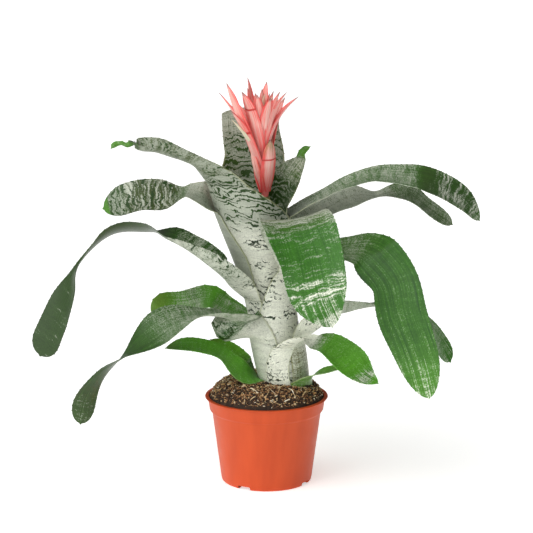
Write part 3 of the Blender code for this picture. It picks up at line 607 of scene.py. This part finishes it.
# Each leaf, by its CAD solid: its layer counted inwards, its base as (height, heading, half
# angle), its blade as (x, y, z, width, cup, roll), and its looks as (row, look), or (first row,
# last row, look). Rows count from 0 over base and blade, and looks blend in between.
leaves = {
    "leaf_old_left": dict(slot="old_green", layer=0,
        base=((118.3, 190, 30), (131, 188, 26)),
        blade=((-30.5, -12, 143, 43, 60, -42), (-42, -10, 157, 41, 45, -46), (-55, -6, 170.5, 33, 35, -50),
               (-68, -4, 179, 20, 30, -50)),
        looks=((0, 0.8, "amber"), (1.6, "fold"), (3, 4.2, "bright"), (5, "olive"))),
    "leaf_old_right": dict(slot="old_green", layer=0,
        base=((118.3, 318, 36), (131, 318, 35)),
        blade=((54.5, -30, 139.5, 31, 45, 5), (72.5, -34, 146.5, 30, 35, 18), (92.5, -37, 153, 25, 25, 20),
               (111, -40, 157.5, 22, 20, 18)),
        looks=((0, "olive"), (2, 5, "bright"))),
    "leaf_back_low": dict(slot="leaf_green", layer=0,
        base=((118.3, 95, 48), (150, 95, 42), (165, 95, 36)),
        blade=((14, 58, 196, 52, 80, 0), (9, 88, 224, 56, 60, 0), (4, 126, 236, 56, 45, 6),
               (-1, 166, 226, 54, 35, 10), (-6, 200, 198, 48, 30, 14), (-10, 222, 160, 42, 25, 18)),
        looks=((0, "clasp"), (1, 4.8, "silver"), (5.4, "grey"), (6, "scurfAndSheen"), (8, "streaksAndSheen"))),
    "leaf_small_left": dict(slot="leaf_bright", layer=1, tip=20,
        base=((118.3, 198, 26), (132, 196, 27)),
        blade=((-32.5, -24, 143.5, 35.5, 52, -44), (-54.5, -26, 166, 28, 37, -37),
               (-77.5, -28, 176, 25.5, 30, -41), (-103, -30, 179, 25, 25, -31),
               (-122.5, -30, 175, 20, 20, -16)),
        looks=((0, "olive"), (1, 5, "bright"), (6, "olive"))),
    "leaf_low_front": dict(slot="leaf_bright", layer=1,
        base=((118.3, 256, 29), (150, 259, 23), (166, 271, 23), (176, 283, 23)),
        blade=((33, -44, 184.5, 26, 90, 3), (49.5, -57, 193.5, 19, 80, 21), (58, -66, 191, 27, 50, 43),
               (76.5, -78, 190, 42, 35, 37), (98.5, -94, 175.5, 46, 25, 42), (115.5, -106, 160, 38, 22, 38),
               (130.5, -114, 153.5, 29, 20, 32)),
        looks=((0, "clasp"), (0.5, 4.5, "spotted"), (5.4, "cracked"), (6.2, "pale"), (6.9, 8.6, "bright"),
               # the pale stretch near the tip is a painted highlight
               (9.2, "paintedHighlight"), (9.8, "bright"))),
    "leaf_low_left": dict(slot="leaf_green", layer=2,
        base=((118.3, 232, 50), (165, 228, 46), (184, 227, 43)),
        blade=((-33, -35, 199.5, 66, 76, 48), (-43, -45, 214.5, 66, 56, 0), (-79, -55, 221.5, 53, 48, -12),
               (-113.5, -62, 214, 66, 35, -34), (-140.5, -66, 196.5, 58, 33, -36),
               (-172.5, -70, 172.5, 30, 28, -4), (-196, -72, 154, 23, 25, 26), (-215, -72, 127, 31, 25, 44),
               (-224.5, -70, 91.5, 39, 20, 75)),
        looks=((0, "clasp"), (0.6, 2.6, "plain"), (3, 3.5, "fold"), (3.9, 5.4, "pale"), (6.4, "grey"),
               (8.2, 9.4, "dull"), (10, 11, "dark"))),
    "leaf_tucked_right": dict(slot="leaf_green", layer=2,
        base=((118.3, 335, 46), (160, 335, 40), (180, 331, 34)),
        blade=((60.5, -24, 200.5, 46, 90, -21), (79.5, -18, 215.5, 41, 60, -11),
               (105.5, -10, 218.5, 42, 45, 5), (141, 0, 221, 42, 35, 26), (172.5, 6, 217.5, 46, 30, 28),
               (203, 8, 192, 48, 17, 48), (228, 6, 149, 46, 15, 78)),
        looks=((0, 1.6, "tan"), (2.1, 3.4, "spotted"), (4.5, "pale"), (6, "grey"), (8, "scurfAndSheen"),
               (9, "streaksAndSheen"))),
    "leaf_back_mid": dict(slot="leaf_green", layer=2,
        base=((118.3, 70, 40), (190, 70, 38), (215, 70, 34)),
        blade=((34, 62, 252, 54, 70, 0), (40, 92, 280, 56, 55, 0), (50, 130, 290, 58, 45, -6),
               (60, 168, 276, 56, 35, -10), (68, 198, 244, 50, 30, -14), (73, 216, 200, 42, 25, -18)),
        looks=((0, "clasp"), (1, 2, "silver"), (3.5, "banded"), (5, "flecked"), (7, "barred"),
               (8, "streaksAndSheen"))),
    "leaf_front": dict(slot="leaf_green", layer=3,
        base=((118.3, 266, 46), (200, 280, 52), (232, 294, 40), (260, 307, 26)),
        blade=((35, -47, 286, 46, 72, 12), (27.5, -66, 330.5, 70, 42, -19), (32, -86, 344.5, 84, 30, -15),
               (40, -106, 334, 86, 27, -12), (51.5, -121, 304, 75.5, 27, -4), (61, -130, 262.5, 68, 25, 11),
               (76, -137, 227.5, 44, 22, 2)),
        looks=((0, "clasp"), (0.4, 3.6, "cracked"), (4.6, 5.6, "soft"), (6.4, "speckled"),
               # towards the tip, the streaks and the pale end are a painted highlight
               (7.1, 8.4, "flecked"), (8.7, 9.1, "barred"), (9.3, 9.55, "streaksAndSheen"), (9.75, "paintedHighlight"))),
    "leaf_tucked_left": dict(slot="leaf_bright", layer=3, tip=22,
        base=((118.3, 150, 48), (185, 150, 36), (198, 152, 29)),
        blade=((-54.5, 20, 214, 53, 55, -5), (-72.5, 22, 224.5, 50, 45, -10),
               (-101, 18, 218.5, 42, 35, -20), (-126.5, 10, 218.5, 36, 30, -30),
               (-140.5, 2, 209, 20, 25, -20)),
        # the greyer stretches are partly painted sheen
        looks=((0, "clasp"), (1.5, "plain"), (2.4, 3.4, "scurfAndSheen"), (3.8, "bright"), (4.5, "pale"),
               (5.2, "scurfAndSheen"), (6, 7, "olive"))),
    "leaf_long_left": dict(slot="leaf_grey", layer=4, tip=24,
        base=((118.3, 207, 56), (190, 206, 50), (210, 205, 48), (232, 204, 49)),
        blade=((-40, -29, 249, 64, 115, 4), (-51.5, -40, 264, 76, 148, -8), (-69, -45, 280.5, 75, 136, -14),
               (-91, -40, 297, 67, 110, -22), (-117, -31, 312, 57, 64, -28), (-147.5, -26, 320, 46, 37, -1),
               (-188, -28, 314.5, 52, 64, -11), (-224, -30, 283, 17, 38, -28),
               (-238, -30, 250, 44, 25, -50), (-255, -30, 214, 44.5, 17, -68),
               (-276, -30, 166, 42, 15, -86)),
        looks=((0, "silver"), (2, 4, "cracked"), (5, 7.8, "mottled"), (8.6, 10.8, "dull"),
               (11.3, 14, "lined"))),
    "leaf_long_right": dict(slot="leaf_bright", layer=4,
        base=((118.3, 2, 50), (200, 8, 44), (232, 7, 33)),
        blade=((58, 4, 265, 54, 80, 0), (75.5, 0, 283, 57, 65, -3), (98, -9, 290.5, 54, 50, 2),
               (121.5, -22, 293, 56, 40, 14), (136.5, -38, 284.5, 62, 28, 34),
               (154.5, -50, 261, 58, 22, 37), (163.5, -60, 222, 62, 25, 42), (181.5, -68, 173, 54, 17, 47),
               (195, -74, 124.5, 39, 15, 55)),
        # the streaks at the tip are partly a painted highlight
        looks=((0, 2, "silver"), (4, 5.5, "grey"), (6.5, 9.5, "deep"), (10.6, 12, "streaksAndSheen"))),
    "leaf_upper_left": dict(slot="leaf_grey", layer=5, tip=24,
        base=((118.3, 190, 54), (287, 190, 54), (328, 182, 36), (340, 182, 31)),
        blade=((-76.5, -13, 358, 56, 52, -18), (-92, -13, 364, 41, 42, -12),
               (-101, -12, 362.5, 30, 32, -16), (-122.5, -12, 359.5, 48, 30, -36),
               (-151.5, -12, 359.5, 48, 30, -40), (-176.5, -12, 352, 49, 25, -36),
               (-197, -12, 344.5, 39, 18, -35)),
        looks=((0, 5, "sheath"), (6, "grey"), (6.5, 8.5, "striped"), (9.3, 9.6, "cross"),
               (9.75, 10, "tip"))),
    "leaf_upper_right": dict(slot="leaf_grey", layer=5,
        base=((118.3, 38, 56), (285, 36, 42), (306, 33, 36)),
        blade=((74.5, 36, 334, 50, 60, 8), (107.5, 44, 348.5, 46, 45, 14), (137.5, 50, 349.5, 35, 35, -8),
               (162.5, 54, 353.5, 35, 28, 13), (182, 56, 350, 38, 25, 18), (200.5, 56, 335, 34, 22, 17),
               (231.5, 56, 313, 29, 23, 41)),
        looks=((0, 5, "sheath"), (6, "pale"), (7, "grey"), (9, "pale"))),
    "leaf_top_left": dict(slot="leaf_grey", layer=6.3, tip=10,
        base=((118.3, 262, 58), (290, 262, 80), (333, 256, 84), (362, 240, 54), (376, 231, 42)),
        blade=((-65, -54, 391.5, 60, 55, 0), (-87.5, -62, 408, 42, 40, -4), (-125, -64, 424, 49, 34, 0),
               (-152.5, -62, 427.5, 38, 27, 0), (-154.5, -62, 430, 24, 60, -12),
               (-163.5, -61, 426.5, 11, 130, 5), (-172, -60, 429, 11, 130, 3),
               (-182, -58, 424.5, 16, 120, 3)),
        looks=((0, 1.6, "silver"), (2.1, 4.2, "islands"), (5.2, 8, "banded"), (8.7, "dull"),
               (9.6, 12, "tip"))),
    "leaf_top_right": dict(slot="leaf_green", layer=7.7,
        base=((118.3, 14, 56), (310, 14, 42), (333, 14, 28)),
        blade=((70.5, 10, 354, 44, 60, 0), (97, 12, 368.5, 42, 50, 5), (129, 14, 380, 42, 32, 12),
               (166, 14, 379, 48, 32, 18), (200.5, 14, 372.5, 54, 25, 22), (239, 14, 352.5, 42, 17, 30),
               (260.5, 14, 326, 31, 20, 35)),
        looks=((0, 2, "sheath"), (4, 6.4, "pale"), (6.8, "dark"), (7.4, 8.4, "dashed"), (9, "pale"))),
    "leaf_upright_back": dict(slot="leaf_grey", layer=8.7, tip=7,
        base=((118.3, 100, 58), (340, 86, 55), (378, 84, 54)),
        blade=((-14, 51, 399.5, 77, 55, 0), (-18, 56, 427, 73, 48, -2), (-20.5, 62, 459, 71, 30, 0)),
        looks=((0, "silver"), (1, 3.4, "cross"), (4.4, 5, "sheath"))),
    "leaf_upright_right": dict(slot="leaf_grey", layer=9.7, tip=9,
        base=((118.3, 30, 54), (320, 27, 44), (345, 25, 38)),
        blade=((23, 15, 366.5, 45, 67, 25), (30, 16, 383, 37, 60, 31), (41.5, 17, 398.5, 17, 60, 34),
               (44, 18, 407.5, 12, 120, 30), (52.5, 19, 415, 14, 120, 10)),
        looks=((0, "silver"), (1, 3.3, "shaded"), (4, 5.3, "pale"), (5.9, 7, "tip"))),
}


def vaseSection(layer, height, heading, halfAngle):
    # A level cross section of a leaf base, on the cone of its layer
    angle = radians(heading)
    out, rise = Vector((cos(angle), sin(angle), 0)), height - plant["z"]
    waist = cos(tau * min(max(rise / plant["waistHeight"], 0), 1))
    radius = plant["radius"] + plant["flare"] * rise - plant["layerPitch"] * layer \
        - 0.5 * plant["waist"] * (1 - waist)
    axis = Vector((plant["x"] + plant["lean"] * rise, 0, height))
    return dict(point=axis + out * radius, side=Vector((-out.y, out.x, 0)), up=-out,
                width=2 * radians(halfAngle) * radius, cup=2 * halfAngle)


def sheathSections(spec):
    # Level cross sections of the clasping base, and how far up each row of its table is
    base = spec["base"]
    low, top = base[0][0], base[-1][0]
    count = ceil((top - low) / plant["sheathStep"])
    sections, run = [], 0
    for number in range(count + 1):
        height = low + (top - low) * number / count
        near = min(plant["soften"], height - low, top - height)         # rounds the kinks of the table
        rows = [readTable(base, height + shift) for shift in (-near, -near / 2, 0, near / 2, near)]
        section = vaseSection(spec["layer"], height, *[sum(values) / len(rows) for values in zip(*rows)])
        if sections:
            run += (section["point"] - sections[-1]["point"]).length
        sections.append(dict(section, run=run, free=0))
    return sections, [readTable([(s["point"].z, s["run"]) for s in sections], row[0])[0] for row in base]


def walkBlade(start, blade):
    # Fine samples along the blade's curve, with a frame carried along without twisting
    track = [[*start["point"], start["width"], start["cup"], 0], *blade]
    samples = [splineRow(track, index, step / plant["fine"])
               for index in range(len(blade)) for step in range(plant["fine"])] + [track[-1]]
    side, tangent, distance, walked = start["side"], None, 0, []
    for number, values in enumerate(samples):
        ahead, behind = samples[min(number + 1, len(samples) - 1)], samples[max(number - 1, 0)]
        newTangent = (Vector(ahead[:3]) - Vector(behind[:3])).normalized()
        if tangent is not None:
            side = tangent.rotation_difference(newTangent) @ side
            distance += (Vector(values[:3]) - Vector(behind[:3])).length
        tangent = newTangent
        side = (side - tangent * side.dot(tangent)).normalized()
        walked.append((distance, *values, *tangent, *side))
    return walked


def leafSections(spec):
    # Cross sections from the clasping base to the tip, and how far along each given row is
    sections, rowRuns = sheathSections(spec)
    start = sections[-1]
    walked = walkBlade(start, spec["blade"])
    rowRuns += [start["run"] + sample[0] for sample in walked[plant["fine"]::plant["fine"]]]
    length, tipLength = walked[-1][0], spec.get("tip", plant["tipLength"])
    body = length - plant["tipRows"][0]
    count = max(1, round(body / plant["bladeStep"]))
    stops = [body * (n + 1) / count for n in range(count)]
    for stop in [*stops, *[length - back for back in plant["tipRows"][1:]], length]:
        values, back = readTable(walked, stop), length - stop
        tangent, side = Vector(values[6:9]).normalized(), Vector(values[9:12]).normalized()
        blend = smoothstep(stop / plant["blend"])
        rowSide = start["side"].lerp(side, blend).normalized()
        rowUp = start["up"].lerp(tangent.cross(side), blend).normalized()
        turn = Matrix.Rotation(radians(values[5]), 3, tangent)
        taper = sqrt(max(0, 1 - max(0, 1 - back / tipLength) ** plant["tipPower"]))
        point = Vector(values[:3]) + tangent * (plant["tipPoint"] if back == 0 else 0)
        free = smoothstep(stop / plant["loose"])
        sections.append(dict(point=point, side=turn @ rowSide, up=turn @ rowUp, width=values[3] * taper,
                             cup=values[4], run=start["run"] + stop, free=free))
    return sections, rowRuns


def lookStops(spec, rowRuns):
    # The leaf's looks as rows of a table: how far along the leaf, and the ten values there
    stops = []
    for *rows, look in spec["looks"]:
        for row in rows:
            index = min(int(row), len(rowRuns) - 2)
            at = rowRuns[index] + (rowRuns[index + 1] - rowRuns[index]) * (row - index)
            stops.append((at, *looks[look], underCover))
    return stops


def addTeeth(points):
    # Small spines along both margins
    last, columns = len(points) - len(plant["tipRows"]) - 2, len(points[0]) - 1
    for column, inner in ((0, 1), (columns, columns - 1)):
        for row in range(plant["toothStart"], last, plant["toothEvery"]):
            here, before, after = points[row][column], points[row - 1][column], points[row + 1][column]
            outward, forward = (here - points[row][inner]).normalized(), (after - here).normalized()
            points[row - 1][column] = before.lerp(here, plant["toothNarrow"])
            points[row + 1][column] = after.lerp(here, plant["toothNarrow"])
            points[row][column] = here + (outward + plant["toothLean"] * forward) * plant["tooth"]


def buildLeaf(name, spec, seed):
    sections, rowRuns = leafSections(spec)
    stops = lookStops(spec, rowRuns)
    rows, columns = len(sections) - 1, plant["columns"]
    lanes = [2 * column / columns - 1 for column in range(columns + 1)]
    points, values = [], {key: [] for key in ("place", *lookParts)}
    for section in sections:
        bend = radians(section["cup"])
        radius, run = section["width"] / bend, section["run"]
        freedom = plant["wave"] * section["free"] * min(1, section["width"] / plant["waveWidth"])
        line = []
        for across in lanes:
            angle = 0.5 * bend * across
            wave = noise.noise(Vector((run / plant["waveLength"], 2 * across, seed * 3.3)))
            line.append(section["point"] + section["side"] * radius * sin(angle)
                        + section["up"] * (radius * (1 - cos(angle)) + wave * freedom * across ** 2))
        points.append(line)
        values["place"].append([(across * section["width"] / 2 * mm, run * mm + seed * 0.7, seed * 1.3)
                                for across in lanes])
        look = readTable(stops, run)
        for start, key in zip((0, 3, 6), lookParts):
            values[key].append([look[start:start + 3]] * len(lanes))
        values["lookMargin"].append([(look[9], across, 1 - section["free"]) for across in lanes])
    addTeeth(points)
    leaf = shapedGrid(name, rows, columns, points, values)
    middle = min(leaf.data.vertices, key=lambda v: (v.co - points[rows // 2][columns // 2] * mm).length)
    if middle.normal.dot(sections[rows // 2]["up"]) < 0:
        leaf.data.flip_normals()
    skin = len(leaf.data.vertices)
    applyModifier(leaf, "SOLIDIFY", thickness=plant["thick"] * mm, offset=0)
    under = leaf.data.attributes.new("underSide", "FLOAT", "POINT")
    under.data.foreach_set("value", [float(n >= skin) for n in range(len(leaf.data.vertices))])
    return leaf


leafFinish = dict(
    # size of each pattern in millimetres, across and along the leaf, its detail and raggedness
    patterns=dict(band=((40, 5.5), 5, 0.65), fleck=((20, 2.2), 3, 0.5), streak=((1.5, 70), 3, 0.5),
                  grain=((1.6, 1.4), 2, 0.6), line=((16, 24), 4, 0.55), spot=((3.6, 2.8), 3, 0.62),
                  cluster=((24, 16), 2, 0.5)),
    strength=dict(band=1.8, fleck=1.8, streak=1.5, grain=1.1),
    warp=5, warpSize=14,                          # how far the patterns wander, mm
    edges=(0.16, 0.84), thickest=0.94,            # softness of the silver, and its most share
    # dark lines: distance, how far they wander, half width and softness, in mm
    linePitch=7.6, lineWander=36, lineWidth=1.05, lineSoft=0.35, lineRagged=1.3,
    lineReach=(0.55, 0.95, -1.4, 1.4), dotEdge=(0.9, 0.98),
    greenLine="#2a4a12", blackLine="#22301f", margin="#a3a878", greyScurf="#939b8a",
    creamScurf="#e9ebdb", olive="#6b6330", toneSwing=0.9, mealy=(0.7, 1.3, 0.74, 1.2),
    marginEdge=(0.93, 0.98), marginShare=0.6,
    roughLeaf=0.3, roughScurf=0.62, shine=0.3, relief=0.5,
)
leafKinds = {
    "leaf_green": dict(name="silver vase leaf, banded green", dark="#264a20", bright="#4c8e2a"),
    "leaf_bright": dict(name="silver vase leaf, glossy green", dark="#2b5320", bright="#5a9e28"),
    "leaf_grey": dict(name="silver vase leaf, grey scurf", dark="#2a451f", bright="#4f8a28"),
    "old_green": dict(name="silver vase leaf, old", dark="#2d5a1c", bright="#5c9c20"),
}


def leafMaterial(kind):
    # A living leaf: a waxy green skin under a matt coat of pale scales, broken into bands,
    # with dark lines where the coat has rubbed off, and fine lengthwise ribs
    finish = leafFinish
    material, add = newMaterial(kind["name"])
    looked = {}
    for key, names in lookParts.items():
        vector = add("Attribute", out="Vector", attribute_name=key)
        looked.update(zip(names, add("SeparateXYZ", vector).node.outputs))
    place = add("Attribute", out="Vector", attribute_name="place")
    wander = add("TexNoise", {"Vector": place, "Scale": 1000 / finish["warpSize"], "Detail": 2}, out=1)
    wander = add("VectorMath SUBTRACT", wander, (0.5, 0.5, 0.5))
    reach = finish["warp"] * mm * 2
    warped = add("VectorMath MULTIPLY_ADD", wander, (reach, reach, 0), place)
    fields = {}
    for key, ((acrossSize, alongSize), detail, ragged) in finish["patterns"].items():
        scaled = add("VectorMath MULTIPLY", place if key in ("streak", "grain") else warped,
                     (1000 / acrossSize, 1000 / alongSize, 1))
        shifted = add("VectorMath ADD", scaled, (0, 0, 5 + 7 * len(fields)))
        fields[key] = add("TexNoise", {"Vector": shifted, "Scale": 1, "Detail": detail,
                                       "Roughness": ragged})
    swings = {key: add("Math SUBTRACT", fields[key], 0.5) for key in finish["strength"]}
    underSide = add("Attribute", out="Fac", attribute_name="underSide")
    cover = add("Math MULTIPLY_ADD", underSide, looked["under"], looked["cover"])
    for key, strength in finish["strength"].items():
        weight = add("Math MULTIPLY", looked[key], strength) if key in looked else strength
        cover = add("Math MULTIPLY_ADD", swings[key], weight, cover)
    silver = add("MapRange", cover, *finish["edges"], interpolation_type="SMOOTHSTEP")

    # dark lines run across the leaf, wander along it, and thin out and fade in places
    run = add("Math MULTIPLY", add("SeparateXYZ", place, out=1), 1000)
    run = add("Math MULTIPLY_ADD", fields["line"], finish["lineWander"], run)
    offLine = add("Math PINGPONG", run, finish["linePitch"] / 2)
    offLine = add("Math MULTIPLY_ADD", swings["grain"], finish["lineRagged"], offLine)
    offLine = add("Math SUBTRACT", 0, offLine)
    reach = add("Math MULTIPLY_ADD", fields["fleck"], 0.5, fields["cluster"])
    reach = add("Math ADD", add("MapRange", reach, *finish["lineReach"]), looked["cracks"])
    offLine = add("Math MULTIPLY_ADD", reach, finish["lineWidth"], offLine)
    crack = add("MapRange", offLine, -finish["lineSoft"], finish["lineSoft"],
                interpolation_type="SMOOTHSTEP")
    dots = add("Math MULTIPLY_ADD", fields["cluster"], 0.6, fields["spot"])
    dots = add("Math MULTIPLY", add("MapRange", dots, *finish["dotEdge"]), looked["spots"])
    dark = add("Math MAXIMUM", crack, dots)
    silver = add("Math MULTIPLY", silver, add("Math SUBTRACT", 1, dark))

    tone = add("Math MULTIPLY_ADD", swings["streak"], finish["toneSwing"], looked["tone"],
               use_clamp=True)
    thick = add("Math MULTIPLY", silver, finish["thickest"])
    line, scurf = (add("Mix", {0: looked["warm"], 6: finish[cold], 7: finish[warm]}, out=2,
                       data_type="RGBA")
                   for cold, warm in (("greenLine", "blackLine"), ("greyScurf", "creamScurf")))
    colour = kind["dark"]
    for share, layer in ((tone, kind["bright"]), (looked["dry"], finish["olive"]), (dark, line),
                         (thick, scurf)):
        colour = add("Mix", {0: share, 6: colour, 7: layer}, out=2, data_type="RGBA")
    mealy = add("MapRange", add("Math ADD", fields["grain"], fields["band"]), *finish["mealy"])
    colour = add("VectorMath SCALE", {0: colour, "Scale": mealy})
    edge = add("MapRange", add("Math ABSOLUTE", looked["across"]), *finish["marginEdge"])
    edge = add("Math MULTIPLY", edge, looked["clasped"])
    edge = add("Math MULTIPLY", edge, finish["marginShare"])
    colour = add("Mix", {0: edge, 6: colour, 7: finish["margin"]}, out=2, data_type="RGBA")
    rough = add("MapRange", silver, 0, 1, finish["roughLeaf"], finish["roughScurf"])
    ribs = add("Math MULTIPLY_ADD", fields["grain"], 0.35, fields["streak"])
    height = add("Math MULTIPLY_ADD", silver, 0.25, ribs)
    bump = add("Bump", {"Height": height, "Strength": 0.55, "Distance": finish["relief"] * mm})
    return feedShader(material, {"Base Color": colour, "Roughness": rough, "Normal": bump,
                                 "Specular IOR Level": finish["shine"]})


leafMaterials = {slot: leafMaterial(kind) for slot, kind in leafKinds.items()}
for number, (node, spec) in enumerate(leaves.items()):
    kind, *side = node.split("_")[1:]                        # leaf_old_left becomes oldLeafLeft
    leafPiece = buildLeaf(kind + "Leaf" + "".join(side).title(), spec, number + 1)
    finishPiece(leafPiece, node, leafMaterials[spec["slot"]], 50)
print("leaves built:", len(leaves))


# Studio: pale floor, soft lights, and the camera where the photograph was taken

studio = dict(
    floorSize=60, floorColour="#f4f4f3", floorGlow=0.6, floorGrain=1.67, world=0.12,
    glow=2.35, glowTight=3, glowFrom=(-0.6, -0.5, 0.62),
    cameraPlace=(0, -2.2, 0.718), cameraPitch=78.5, lens=123.8, sensor=36,
    # place, aim, size in metres, power in watts
    lights=(((-1.5, -1.9, 1.3), (0, 0, 0.25), 0.7, 4), ((1.5, -1.3, 0.9), (0.1, 0, 0.25), 0.4, 0.15)),
)


def buildStudio():
    floor = startPiece("studioFloor", bpy.ops.mesh.primitive_plane_add, size=studio["floorSize"])
    material, add = newMaterial("matt studio sheet, lit from below")
    tooth = add("TexNoise", {"Vector": add("TexCoord", out="Object"),
                             "Scale": 1000 / studio["floorGrain"]})
    bump = add("Bump", {"Height": tooth, "Strength": 0.05, "Distance": 0.2 * mm})
    floor.data.materials.append(feedShader(material, {
        "Base Color": studio["floorColour"], "Emission Color": studio["floorColour"], "Normal": bump,
        "Emission Strength": studio["floorGlow"], "Roughness": 0.9, "Specular IOR Level": 0.1}))
    world = bpy.data.worlds.new("studio")
    world.use_nodes = True
    bpy.context.scene.world = world
    towards = addNode(world, "TexCoord", out="Generated")
    lampSide = Vector(studio["glowFrom"]).normalized()
    glow = addNode(world, "VectorMath DOT_PRODUCT", towards, lampSide, out="Value")
    glow = addNode(world, "Math MAXIMUM", glow, 0)
    glow = addNode(world, "Math POWER", glow, studio["glowTight"])
    glow = addNode(world, "Math MULTIPLY_ADD", glow, studio["glow"], studio["world"])
    feedInputs(world, world.node_tree.nodes["Background"], {"Strength": glow, "Color": (1, 1, 1, 1)})
    for place, aim, size, power in studio["lights"]:
        bpy.ops.object.light_add(type="AREA", location=place)
        lamp = bpy.context.object
        lamp.data.size, lamp.data.energy = size, power
        lamp.rotation_euler = (Vector(aim) - Vector(place)).to_track_quat("-Z", "Y").to_euler()
    bpy.ops.object.camera_add(location=studio["cameraPlace"],
                              rotation=(radians(studio["cameraPitch"]), 0, 0))
    camera = bpy.context.object
    camera.data.lens, camera.data.sensor_width = studio["lens"], studio["sensor"]
    bpy.context.scene.camera = camera
    bpy.context.scene.view_settings.view_transform = "Standard"


buildStudio()
print("studio ready")
